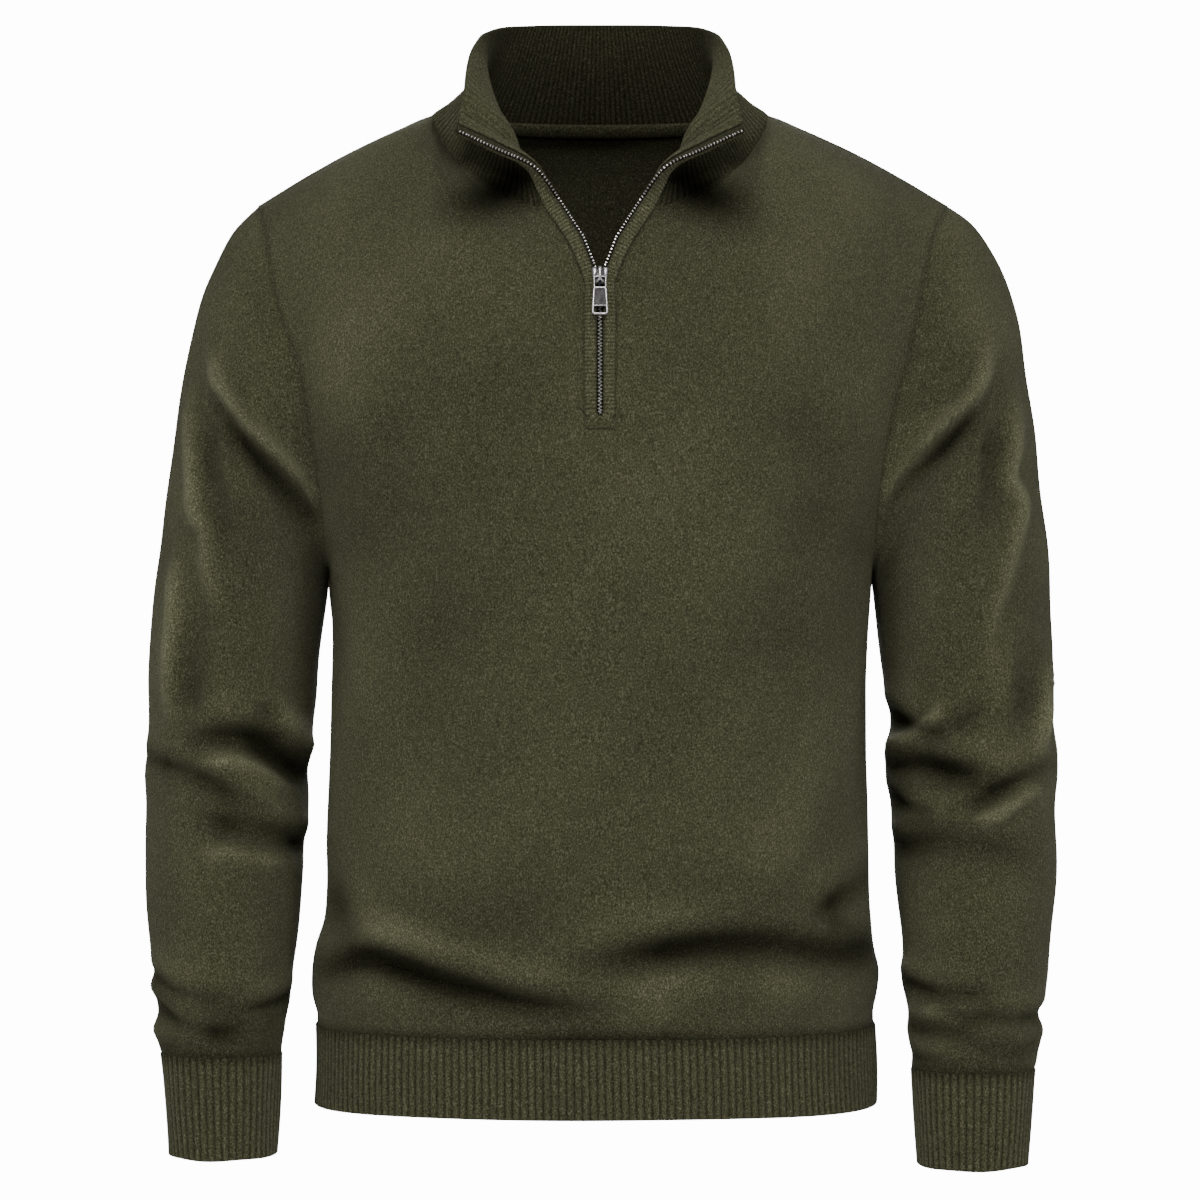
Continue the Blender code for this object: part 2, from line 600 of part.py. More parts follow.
def collection_for(name):
    """A collection linked to the scene."""
    collection = bpy.data.collections.new(name)
    bpy.context.scene.collection.children.link(collection)
    return collection


def add_object(name, mesh, material):
    """An object of the part."""
    obj = bpy.data.objects.new(name, mesh)
    bpy.data.collections[OBJECT_NAME].objects.link(obj)
    mesh.materials.clear()
    mesh.materials.append(material)
    return obj


def make_material(name, colour=OLIVE, roughness=0.9, metallic=0.0):
    """A plain material; knitted cloth unless told otherwise."""
    material = bpy.data.materials.new(name)
    material.use_nodes = True
    shader = material.node_tree.nodes["Principled BSDF"]
    shader.inputs["Base Color"].default_value = colour
    shader.inputs["Roughness"].default_value = roughness
    shader.inputs["Metallic"].default_value = metallic
    return material


# ---------------------------------------------------------------- cloth grids
BODY_LEVELS = [(z - HEM_TOP) / (UNDERARM - HEM_TOP) for z in BODY_ROWS]
LEVELS = BODY_LEVELS + ARMHOLE_LEVELS + YOKE_LEVELS
CHEST_ROW = len(BODY_LEVELS) + len(ARMHOLE_LEVELS) - 1
V_ROW = CHEST_ROW + YOKE_CLIMB.index(0.635) + 1          # in the front grid, with its slit row
MIDDLE = COLUMNS                                         # middle column of a whole panel


def half_panel(face, side):
    """Grid of half a panel, from its middle column to its side."""
    return np.array([[panel_point(face, side, column, level, slit=row >= CHEST_ROW)
                      for column in range(COLUMNS + 1)] for row, level in enumerate(LEVELS)])


def chord_points(grid, axis):
    """Each inner point of a grid moved to the chord between its two neighbours along one axis."""
    rows = np.moveaxis(grid, axis, 0)
    before = np.linalg.norm(rows[1:-1] - rows[:-2], axis=-1, keepdims=True)
    after = np.linalg.norm(rows[2:] - rows[1:-1], axis=-1, keepdims=True)
    moved = rows.copy()
    moved[1:-1] = mix(rows[:-2], rows[2:], before / (before + after))
    return np.moveaxis(moved, 0, axis)


def relaxed(grid, loose):
    """The grid with its loose points evened out; each round ends with a step back, against shrinking."""
    eased = grid.copy()
    for _ in range(RELAX_ROUNDS):
        for step in (0.5, -0.52):
            target = (chord_points(eased, 0) + chord_points(eased, 1)) / 2
            eased += (target - eased) * loose[..., None] * step
    return eased


def loose_weights(grid, held_columns):
    """Weights of the points that may be evened out: inside the yoke, away from the held columns."""
    loose = np.zeros(grid.shape[:2])
    loose[len(BODY_LEVELS) - 2:-1, 1:-1] = 1
    loose[:, held_columns] = 0
    return loose


def inner_weights(grid):
    """Weights that keep the seams of a panel where they are."""
    weights = np.ones(grid.shape[:2])
    weights[[0, -1]] = 0
    weights[:, [0, -1]] = 0
    return {-1: weights, 1: weights}


def front_grid():
    """Front panel, columns from -X to +X with the middle one doubled; the slit parts the two."""
    grid = np.concatenate([half_panel(-1, -1)[:, ::-1], half_panel(-1, 1)], axis=1)
    low, high = grid[CHEST_ROW - 1], grid[CHEST_ROW]
    slit_end = mix(low, high, (SLIT_END - low[0, 2]) / (high[0, 2] - low[0, 2]))
    slit_end[[MIDDLE, MIDDLE + 1], 0] = 0.0
    grid = np.insert(grid, CHEST_ROW, slit_end, axis=0)
    grid = relaxed(grid, loose_weights(grid, slice(MIDDLE - 1, MIDDLE + 3)))
    folds = [fold for fold in BODY_FOLDS if fold.face < 0]
    bent = folded(grid, folds, inner_weights(grid))
    whole = slice(0, CHEST_ROW + 1)
    bent[whole, MIDDLE] = bent[whole, MIDDLE + 1] = mix(bent[whole, MIDDLE], bent[whole, MIDDLE + 1], 0.5)
    return bent


def back_grid():
    """Back panel, columns from +X to -X."""
    grid = np.concatenate([half_panel(1, 1)[:, :0:-1], half_panel(1, -1)], axis=1)
    grid = relaxed(grid, loose_weights(grid, slice(0, 0)))
    folds = [fold for fold in BODY_FOLDS if fold.face > 0]
    return folded(grid, folds, inner_weights(grid))


def armhole_ring(front, back, side):
    """Armhole seam from the underarm up the front, over the shoulder and down the back."""
    first = len(BODY_LEVELS)
    rows = [row for row in range(first, front.shape[0]) if row != CHEST_ROW]
    front_edge = front[rows, -1 if side > 0 else 0]
    back_edge = back[first:, 0 if side > 0 else -1]
    return np.concatenate([front_edge, back_edge[-2::-1]])


def sleeve_grid(front, back, side):
    """Sleeve rings from the wrist up to the armhole."""
    turns = np.arange(2 * RING_HALF + 1) * pi / RING_HALF
    across = ((1 - np.cos(turns)) / 2)[:, None]
    armhole = armhole_ring(front, back, side)
    bow = armhole - mix(armhole[0], armhole[RING_HALF], across)
    bow[:, 1] = 0.0
    rings = [sleeve_ring(side, ring, turns, across) + bow * ring.bow for ring in SLEEVE[side][::-1]]
    grid = np.array(rings + [armhole])
    middle = np.array([ring.middle_y for ring in SLEEVE[side][::-1]] + [0.004])[:, None]
    forward = (middle - grid[..., 1]) / (-grid[..., 1] + middle).max(axis=1, keepdims=True)
    held = np.ones(grid.shape[:2])
    held[[0, -1]] = 0
    weights = {face: held * np.clip(-face * forward * 2 + 0.4, 0, 1) for face in (-1, 1)}
    if side < 0:
        grid = grid[:, ::-1]
        weights = {face: weight[:, ::-1] for face, weight in weights.items()}
    bent = folded(grid, SLEEVE_FOLDS[side], weights)
    bent[:, -1] = bent[:, 0]
    return bent


def sleeve_ring(side, ring, turns, across):
    """Points of one sleeve ring from the inner point round the front."""
    inner = np.array([ring.inner_x * side, 0.0, ring.inner_z])
    outer = np.array([ring.outer_x * side, 0.0, ring.outer_z])
    points = mix(inner, outer, across)
    points[:, 1] = ring.middle_y - ring.depth * np.sin(turns)
    return points


def cuff_rows(sleeve, side):
    """Cuff rings, lower end first."""
    turns = np.arange(2 * RING_HALF + 1) * pi / RING_HALF
    across = ((1 - np.cos(turns)) / 2)[:, None]
    end = sleeve_ring(side, CUFF_END[side], turns, across)
    return np.array([end if side > 0 else end[::-1], sleeve[0]])


def hem_rows(front, back):
    """Hem rings, lower end first, from the front's -X side seam round to itself."""
    top = np.concatenate([np.delete(front[0], MIDDLE, axis=0), back[0][1:]])
    halves = {}
    for face, side in ((-1, -1), (-1, 1), (1, 1), (1, -1)):
        halves[face, side] = np.array([section_point(face, side, column, HEM_BOTTOM_SECTION, z=HEM_BOTTOM)
                                       for column in range(COLUMNS + 1)])
    bottom = np.concatenate([halves[-1, -1][:0:-1], halves[-1, 1], halves[1, 1][-2::-1], halves[1, -1][1:]])
    return np.array([bottom, top])


def collar_places():
    """q of the neck seam's points, from the +X zip edge to the -X one."""
    front = [0.0] + list(np.linspace(WELT_Q, NECK_POINT_Q, NECK_COLUMN))
    back = list(np.linspace(NECK_POINT_Q, 1.0, NECK_COLUMN + 1))[1:]
    half = front + back
    return np.array([2 - q for q in half] + half[-2::-1])


def collar_grid(q_places, places):
    """Collar rows at fractional places; the seam row is straight between the seam's own points."""
    qs = np.interp(places, np.arange(len(q_places)), q_places)
    grid = np.array([[collar_point(q, height) for q in qs] for height in COLLAR_HEIGHTS])
    grid[0] = along_row(np.array([collar_point(q, 0.0) for q in q_places]), places)
    return grid


# ---------------------------------------------------------------- cloth pieces
def build_front(outer, inner):
    """Front panel: two sides that share the middle column up to the slit."""
    wall = Wall()
    outer_ids = wall.add_grid(outer)
    inner_ids = wall.add_grid(inner)
    rows = np.arange(outer.shape[0])
    for half, edge, slit in ((slice(0, MIDDLE + 1), 0, MIDDLE), (slice(MIDDLE + 1, None), -1, MIDDLE + 1)):
        columns = np.arange(MIDDLE + 1)
        wall.skin(outer_ids[:, half])
        wall.skin(inner_ids[:, half])
        for row in (0, -1):
            wall.rim(outer_ids[row, half], columns, inner_ids[row, half], columns)
        wall.rim(outer_ids[:, edge], rows, inner_ids[:, edge], rows)
        wall.rim(outer_ids[CHEST_ROW:, slit], rows[CHEST_ROW:], inner_ids[CHEST_ROW:, slit], rows[CHEST_ROW:])
    return wall.build("front", make_material("front_knit"))


def build_collar(outer_base, normals, places, inner, inner_places):
    """Ribbed collar: ribs between the plain cells under the welts, a plain inside."""
    ribbed = (places > 1 - 1e-9) & (places < places[-1] - 1 + 1e-9)
    heights = COLLAR_RIB_HEIGHT * ribbed * (np.arange(len(places)) % 2 == 0)
    outer = outer_base + normals * heights[:, None]
    outer[0] = outer_base[0]
    wall = wall_between(outer, inner, outer_at=places, inner_at=inner_places)
    return wall.build("collar", make_material("collar_rib"))


class ZipSide:
    """The cells of the front panel and the collar beside one zip edge, outer and inner."""

    def __init__(self, side, front, collar):
        edge = MIDDLE + (1 if side > 0 else 0)
        end, beside = (0, 1) if side > 0 else (-1, -2)
        self.side = side
        self.faces = {}
        for face in ("outer", "inner"):
            columns = []
            for panel, band in ((front[face], collar[face]), (front["normals"], collar[face + "_normals"])):
                columns.append([np.concatenate([panel[CHEST_ROW:, edge], band[1:, end]]),
                                np.concatenate([panel[CHEST_ROW:, edge + side], band[1:, beside]])])
            self.faces[face] = columns

    def strip(self, face, span, depths, first=0):
        """Wall beside the zip on one face: span in shares of the cell, depths along the normals."""
        (edge, beside), (edge_normal, beside_normal) = self.faces[face]
        span = span[::self.side]
        base = np.stack([mix(edge, beside, share) for share in span], axis=1)[first:]
        lift = np.stack([unit(mix(edge_normal, beside_normal, share)) for share in span], axis=1)[first:]
        far, near = (base + lift * depth for depth in depths)
        return wall_between(far, near)


def build_zip_cloth(name, zip_side):
    """Welt, tape and facing of one side of the zip."""
    welt = zip_side.strip("outer", (0.04, 0.97), (LAYER_GAP + WELT_THICK, LAYER_GAP))
    welt.build("placket_welt_" + name, make_material("welt_" + name))
    tape_in = -(LAYER_GAP + TAPE_THICK)
    tape = zip_side.strip("inner", (-0.28, 0.04, 0.92), (tape_in, -LAYER_GAP), 1)
    tape.build("zip_tape_" + name, make_material("tape_" + name, DARK_OLIVE))
    facing_in = tape_in - LAYER_GAP
    facing = zip_side.strip("inner", (0.04, 0.92), (facing_in - FACING_THICK, facing_in), V_ROW - CHEST_ROW + 1)
    facing.build("zip_facing_" + name, make_material("facing_" + name))


def build_placket_bar(outer, normals):
    """Bar across the lower end of the placket, on the front panel."""
    columns = [MIDDLE - 1, MIDDLE, MIDDLE + 2]
    low, high = outer[CHEST_ROW - 1, columns], outer[CHEST_ROW, columns]
    tall = high[1, 2] - low[1, 2]
    shares = [1 - (SEAM_GAP + PLACKET_BAR_TALL) / tall, 1 - SEAM_GAP / tall]
    base = np.array([mix(low, high, share) for share in shares])
    lift = unit(normals[CHEST_ROW - 1, columns])
    wall = wall_between(base + lift * (LAYER_GAP + WELT_THICK), base + lift * LAYER_GAP)
    return wall.build("placket_bar", make_material("placket_bar_knit"))


def build_binding(inner, normals):
    """Binding round the back of the neck, on the collar's inner face just above the seam."""
    first, last = 2 * NECK_COLUMN - 1, inner.shape[1] - 2 * NECK_COLUMN + 1
    low, high = inner[0, first:last], inner[1, first:last]
    share = BINDING_TALL / np.linalg.norm(high - low, axis=-1).mean()
    base = np.array([mix(low, high, 0.02), mix(low, high, share)])
    inward = -normals[:2, first:last]
    inward[1] = unit(mix(inward[0], inward[1], share))
    wall = wall_between(base + inward * (LAYER_GAP + BINDING_THICK), base + inward * LAYER_GAP)
    return wall.build("back_neck_binding", make_material("binding_knit"))


def build_cloth():
    """Every cloth piece; returns where the slider sits: a point and the slope of the placket."""
    front = front_grid()
    back = back_grid()
    sleeves = {side: sleeve_grid(front, back, side) for side in (-1, 1)}
    cuffs = {side: cuff_rows(sleeves[side], side) for side in (-1, 1)}
    hem = hem_rows(front, back)
    q_places = collar_places()
    coarse = np.arange(len(q_places), dtype=float)
    collar_coarse = collar_grid(q_places, coarse)
    grids = [front, back, sleeves[-1], sleeves[1], cuffs[-1], cuffs[1], hem, collar_coarse]
    normals = shared_normals(grids)

    front_out = inset(front, ("bottom", "top", "left", "right"))
    front_out[:CHEST_ROW + 1, MIDDLE + 1] = front_out[:CHEST_ROW + 1, MIDDLE]
    front_in = front_out - normals[0] * CLOTH
    build_front(front_out, front_in)

    back_out = inset(back, ("bottom", "top", "left", "right"))
    wall_between(back_out, back_out - normals[1] * CLOTH).build("back", make_material("back_knit"))

    for index, side, name in ((2, -1, "right"), (3, 1, "left")):
        sleeve = inset(sleeves[side], ("bottom", "top"))
        wall = wall_between(sleeve, sleeve - normals[index] * CLOTH, sides=False)
        wall.build("sleeve_" + name, make_material("sleeve_" + name))
        cuff = inset(cuffs[side], ("top",))
        ribbed_band("cuff_" + name, cuff, normals[index + 2], CUFF_RIBS, CUFF_RIB_HEIGHT,
                    make_material("cuff_" + name))
    ribbed_band("hem_rib", inset(hem, ("top",)), normals[6], HEM_RIBS, HEM_RIB_HEIGHT,
                make_material("hem_knit"))

    last = coarse[-1]
    ribs = 1 + (last - 2) * even_places(collar_coarse[2, 1:-1], 2 * COLLAR_RIBS) / (last - 2)
    places = np.concatenate([[0.0], ribs, [last]])
    half_places = np.concatenate([[0.0], np.arange(1, last - 0.75, 0.5), [last]])
    bases = {}
    for name, at in (("outer", places), ("inner", half_places)):
        grid = collar_grid(q_places, at)
        own = grid_normals(grid)
        own[0] = unit(along_row(normals[7][0], at))
        bases[name] = (inset(grid, ("bottom",), NECK_INSET), own)
    collar_out, out_normals = bases["outer"]
    in_base, in_normals = bases["inner"]
    thickness = np.full((len(COLLAR_HEIGHTS), 1, 1), RIB_CLOTH)
    thickness[0] = CLOTH
    collar_in = in_base - in_normals * thickness
    build_collar(collar_out, out_normals, places, collar_in, half_places)

    front_faces = {"outer": front_out, "inner": front_in, "normals": normals[0]}
    collar_faces = {"outer": collar_out, "outer_normals": out_normals,
                    "inner": collar_in, "inner_normals": in_normals}
    for side, name in ((-1, "right"), (1, "left")):
        build_zip_cloth(name, ZipSide(side, front_faces, collar_faces))
    build_placket_bar(front_out, normals[0])
    build_binding(collar_in, in_normals)

    below, at, above = (front_out[row, MIDDLE] for row in (V_ROW - 1, V_ROW, V_ROW + 1))
    return np.array([0.0, at[1], at[2]]), (above - below)


# ---------------------------------------------------------------- zip hardware
def box(name, size, centre):
    """A box mesh object for the hardware."""
    mesh = bpy.data.meshes.new(name)
    cube = bmesh.new()
    bmesh.ops.create_cube(cube, size=1.0)
    bmesh.ops.scale(cube, vec=size, verts=cube.verts)
    bmesh.ops.translate(cube, vec=centre, verts=cube.verts)
    cube.to_mesh(mesh)
    cube.free()
    return mesh


def outline_solid(name, outlines, thick, middle_y):
    """A plate from flat outlines in local X and Z, the first the edge and the rest its holes."""
    curve = bpy.data.curves.new(name, "CURVE")
    curve.dimensions = "2D"
    curve.fill_mode = "BOTH"
    curve.extrude = thick / 2
    for outline in outlines:
        spline = curve.splines.new("POLY")
        spline.points.add(len(outline) - 1)
        for point, (x, z) in zip(spline.points, outline):
            point.co = (x, z, 0.0, 1.0)
        spline.use_cyclic_u = True
    guide = bpy.data.objects.new(name + "_outline", curve)
    bpy.context.scene.collection.objects.link(guide)
    bpy.context.view_layer.update()
    mesh = bpy.data.meshes.new_from_object(guide.evaluated_get(bpy.context.evaluated_depsgraph_get()))
    bpy.data.objects.remove(guide, do_unlink=True)
    plate = bmesh.new()
    plate.from_mesh(mesh)
    bmesh.ops.remove_doubles(plate, verts=plate.verts, dist=1e-6)
    bmesh.ops.rotate(plate, verts=plate.verts, cent=(0, 0, 0), matrix=Matrix.Rotation(pi / 2, 3, "X"))
    bmesh.ops.translate(plate, verts=plate.verts, vec=(0, middle_y, 0))
    bmesh.ops.recalc_face_normals(plate, faces=plate.faces)
    plate.to_mesh(mesh)
    plate.free()
    return mesh


def rounded_rectangle(width_top, width_bottom, top, bottom, radius, steps=3):
    """Outline of a plate, wider or narrower at its lower end, with round corners."""
    corners = [(width_top / 2, top, 0), (-width_top / 2, top, 90),
               (-width_bottom / 2, bottom, 180), (width_bottom / 2, bottom, 270)]
    points = []
    for x, z, start in corners:
        centre_x = x - radius if x > 0 else x + radius
        centre_z = z - radius if z == top else z + radius
        for step in range(steps + 1):
            turn = radians(start + 90 * step / steps)
            points.append((centre_x + radius * cos(turn), centre_z + radius * sin(turn)))
    return points


def apply_booleans(obj, operation, meshes):
    """Join or cut an object with closed meshes."""
    tools = bpy.data.collections["zip_tools"]
    for number, mesh in enumerate(meshes):
        tool = bpy.data.objects.new(f"{obj.name}_tool_{number}", mesh)
        tool.hide_render = True
        tool.display_type = "WIRE"
        tool.parent = obj.parent
        tool.location = obj.location
        tools.objects.link(tool)
        modifier = obj.modifiers.new(tool.name, "BOOLEAN")
        modifier.operation = operation
        modifier.object = tool


def build_slider(seat, metal):
    """Front plate with rounded ears and the bridge that holds the pull."""
    plate_out = -(SLIDER_LIFT + SLIDER_PLATE)
    half = SLIDER_TALL / 2
    outline = rounded_rectangle(SLIDER_WIDTH, SLIDER_WAIST, half, -half, 0.0024)
    plate = outline_solid("slider", [outline], SLIDER_PLATE, -(SLIDER_LIFT + SLIDER_PLATE / 2))
    slider = add_object("zip_slider", plate, metal)
    slider.parent = seat
    low, high = BRIDGE_SPAN
    bar_out = plate_out - AXIS_ABOVE_PLATE - PULL_THICK / 2 - 0.0004
    sink = 0.0002
    leg_tall = plate_out + sink - (bar_out - BRIDGE_BAR)
    leg_y = (plate_out + sink + bar_out - BRIDGE_BAR) / 2
    pieces = [
        box("bridge_bar", (BRIDGE_WIDTH, BRIDGE_BAR, high - low), (0, bar_out - BRIDGE_BAR / 2, (high + low) / 2)),
        box("bridge_low", (BRIDGE_WIDTH - 0.0002, leg_tall - 0.0002, BRIDGE_BAR),
            (0, leg_y + 0.0001, low + BRIDGE_BAR / 2 + 0.0001)),
        box("bridge_high", (BRIDGE_WIDTH - 0.0002, leg_tall - 0.0002, BRIDGE_BAR),
            (0, leg_y + 0.0001, high - BRIDGE_BAR / 2 - 0.0001)),
    ]
    apply_booleans(slider, "UNION", pieces)
    return slider


def build_pull(seat, metal):
    """Link and tab in one piece, hung on its axis under the bridge; the tab's face is bare."""
    bar = LINK_BAR / 2
    link_end = bar - LINK_TALL
    tab_end = link_end - TAB_TALL
    side = rounded_rectangle(LINK_WIDTH, LINK_WIDTH, bar, link_end, 0.0012)
    count = len(side) // 4
    tab = rounded_rectangle(TAB_TOP_WIDTH, TAB_BOTTOM_WIDTH, link_end, tab_end, 0.0016)
    outline = side[:2 * count] + tab[count:2 * count] + tab[2 * count:] + tab[:count]
    opening = rounded_rectangle(LINK_WIDTH - 2 * LINK_BAR, LINK_WIDTH - 2 * LINK_BAR,
                                -bar, link_end + 0.0006, 0.0006, 2)
    hole_low = tab_end + TAB_HOLE_ABOVE_END
    hole = rounded_rectangle(TAB_HOLE[0], TAB_HOLE[0], hole_low + TAB_HOLE[1], hole_low, 0.0006, 2)
    plate = outline_solid("pull", [outline, opening, hole], PULL_THICK, 0.0)
    axis = bpy.data.objects.new("pull_axis", None)
    bpy.context.scene.collection.objects.link(axis)
    axis.parent = seat
    axis.location = (0, -(SLIDER_LIFT + SLIDER_PLATE + AXIS_ABOVE_PLATE), -AXIS_BELOW_SLIDER)
    pull = add_object("pull_tab", plate, metal)
    pull.parent = axis
    recess_top = link_end - TAB_RIM
    recess_low = hole_low + TAB_HOLE[1] + TAB_RIM
    recess = box("recess", (TAB_TOP_WIDTH - 2 * TAB_RIM, 2 * TAB_RECESS_DEPTH, recess_top - recess_low),
                 (0, -PULL_THICK / 2, (recess_top + recess_low) / 2))
    apply_booleans(pull, "DIFFERENCE", [recess])
    return pull


def build_zip_hardware(point, slope):
    """Slider and pull on a seat whose local Z runs up the placket."""
    seat = bpy.data.objects.new("slider_seat", None)
    bpy.context.scene.collection.objects.link(seat)
    seat.location = Vector(point)
    seat.rotation_euler = (-np.arctan2(slope[1], slope[2]), 0, 0)
    build_slider(seat, make_material("slider_metal", GUNMETAL, 0.3, 1.0))
    build_pull(seat, make_material("pull_metal", GUNMETAL, 0.3, 1.0))


def main():
    """Build every piece."""
    clear_scene()
    collection_for(OBJECT_NAME)
    collection_for("zip_tools").hide_render = True
    build_zip_hardware(*build_cloth())


main()
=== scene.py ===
"""Looks of the quarter-zip sweater: fine knitted shells, ribs, zip, trims and stage.

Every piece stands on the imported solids: front -Y, +Z up, metres, the origin in the neck opening.
"""
from collections import namedtuple
from functools import lru_cache, partial
from math import cos, pi, radians, sin

import bmesh
import bpy
import numpy as np
from bpy.props import FloatProperty, FloatVectorProperty, PointerProperty
from mathutils import Matrix, Vector


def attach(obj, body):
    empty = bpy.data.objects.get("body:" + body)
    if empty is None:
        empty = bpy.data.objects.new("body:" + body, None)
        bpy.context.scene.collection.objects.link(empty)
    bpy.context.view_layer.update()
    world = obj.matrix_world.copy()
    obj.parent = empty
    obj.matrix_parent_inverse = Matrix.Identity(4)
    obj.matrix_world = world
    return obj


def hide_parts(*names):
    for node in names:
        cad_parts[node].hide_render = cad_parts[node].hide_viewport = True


bl_info = {
    "name": "Quarter-zip sweater",
    "version": (1, 0, 0),
    "blender": (4, 5, 0),
    "location": "View3D > Sidebar > Sweater",
    "description": "Dresses the packed solids of a knitted quarter-zip sweater",
    "category": "Object",
}

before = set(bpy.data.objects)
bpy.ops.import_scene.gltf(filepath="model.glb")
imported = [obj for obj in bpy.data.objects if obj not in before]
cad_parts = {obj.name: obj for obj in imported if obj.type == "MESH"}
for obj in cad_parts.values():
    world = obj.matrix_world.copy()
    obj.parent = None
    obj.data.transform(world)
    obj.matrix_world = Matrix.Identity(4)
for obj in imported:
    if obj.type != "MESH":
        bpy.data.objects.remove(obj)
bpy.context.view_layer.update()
SIDES = ((-1, "right"), (1, "left"))
STRIP_PARTS = 8           # cells across a strip beside the zip

# ---------------------------------------------------------------- driving sizes
CLOTH = 0.0020            # wall of the jersey panels
RIB_CLOTH = 0.0024        # wall of the ribbed bands, without the ribs
SEAM_GAP = 0.0003         # between two pieces at a seam
HEM_TOP = -0.626          # where the body meets the hem band
HEM_BOTTOM = -0.680
UNDERARM = -0.316
CHEST = -0.211            # level of the zip's lower end, where the yoke starts to lean back
SLIT_END = -0.2135        # lowest point of the slit in the front panel
V_START = -0.120          # the slit opens into a V above the slider
SLIT_HALF = 0.0027        # half the width of the closed slit
PLACKET_HALF = 0.0102     # half the width of the placket, slit and both welts
SHOULDER_TIP_Z = -0.062
SHOULDER_TIP_Y = 0.008
SHOULDER_CROWN = 0.004    # how far the shoulder line bulges above a straight line
ROUNDNESS = 2.35          # exponent of the body's superellipse sections
SIDE_CUT = 22.0           # degrees of section left off where the armhole cuts it at chest level
ARMHOLE_REACH = {-1: -0.062, 1: 0.070}   # Y of the armhole's foremost and rearmost points
YOKE_BEND = {-1: 1.35, 1: 1.8}           # how the yoke's middle curves back: 1 straight, 2 round
SHOULDER_BEND = 2.0

COLUMNS = 12              # cells from the middle of a panel to its side
NECK_COLUMN = 8           # the column that ends at the neck point
RING_HALF = 11            # cells of a sleeve ring from underarm to shoulder
NECK_POINT_Q = 0.5        # place of the neck point along half the collar
WELT_Q = 0.030            # width of the zip's strips, along half the collar
RELAX_ROUNDS = 8          # rounds of evening out the yoke

HEM_RIBS = 196
CUFF_RIBS = 48
COLLAR_RIBS = 142
HEM_RIB_HEIGHT = 0.0009
CUFF_RIB_HEIGHT = 0.0008
COLLAR_RIB_HEIGHT = 0.0007

BINDING_THICK = 0.0014
PLACKET_BAR_TALL = 0.0075

# ---------------------------------------------------------------- tables
# Half widths towards -X and +X, and Y of the front and the back, of the body at height z.
BodySection = namedtuple("BodySection", "z minus_x plus_x front back")
BODY = [BodySection(*row) for row in (
    (-0.626, 0.1950, 0.1887, -0.124, 0.104),
    (-0.620, 0.1946, 0.1884, -0.127, 0.106),
    (-0.606, 0.1980, 0.1910, -0.131, 0.109),
    (-0.590, 0.1987, 0.1925, -0.132, 0.108),
    (-0.568, 0.1950, 0.1880, -0.130, 0.104),
    (-0.553, 0.1900, 0.1870, -0.129, 0.102),
    (-0.514, 0.1890, 0.1845, -0.128, 0.100),
    (-0.464, 0.1870, 0.1840, -0.129, 0.101),
    (-0.404, 0.1855, 0.1837, -0.131, 0.104),
    (-0.362, 0.1840, 0.1840, -0.1325, 0.109),
    (-0.316, 0.1870, 0.1870, -0.132, 0.113),
    (-0.211, 0.1968, 0.1972, -0.127, 0.116),
)]
HEM_BOTTOM_SECTION = BodySection(HEM_BOTTOM, 0.1960, 0.1900, -0.124, 0.106)

# Half widths at which the armhole seam crosses height z.
ArmholePoint = namedtuple("ArmholePoint", "z minus_x plus_x")
ARMHOLE = [ArmholePoint(*row) for row in (
    (-0.316, 0.1870, 0.1870),
    (-0.270, 0.1890, 0.1890),
    (-0.243, 0.1925, 0.1920),
    (-0.211, 0.1968, 0.1972),
    (-0.180, 0.2030, 0.2055),
    (-0.155, 0.2110, 0.2120),
    (-0.130, 0.2195, 0.2170),
    (-0.103, 0.2250, 0.2230),
    (-0.075, 0.2310, 0.2320),
    (-0.062, 0.2360, 0.2400),
)]

# Half width of the slit and the V above it.
VPoint = namedtuple("VPoint", "z half")
V_EDGE = [VPoint(*row) for row in (
    (CHEST, SLIT_HALF),
    (V_START, SLIT_HALF),
    (-0.0935, 0.0130),
    (-0.0677, 0.0290),
)]

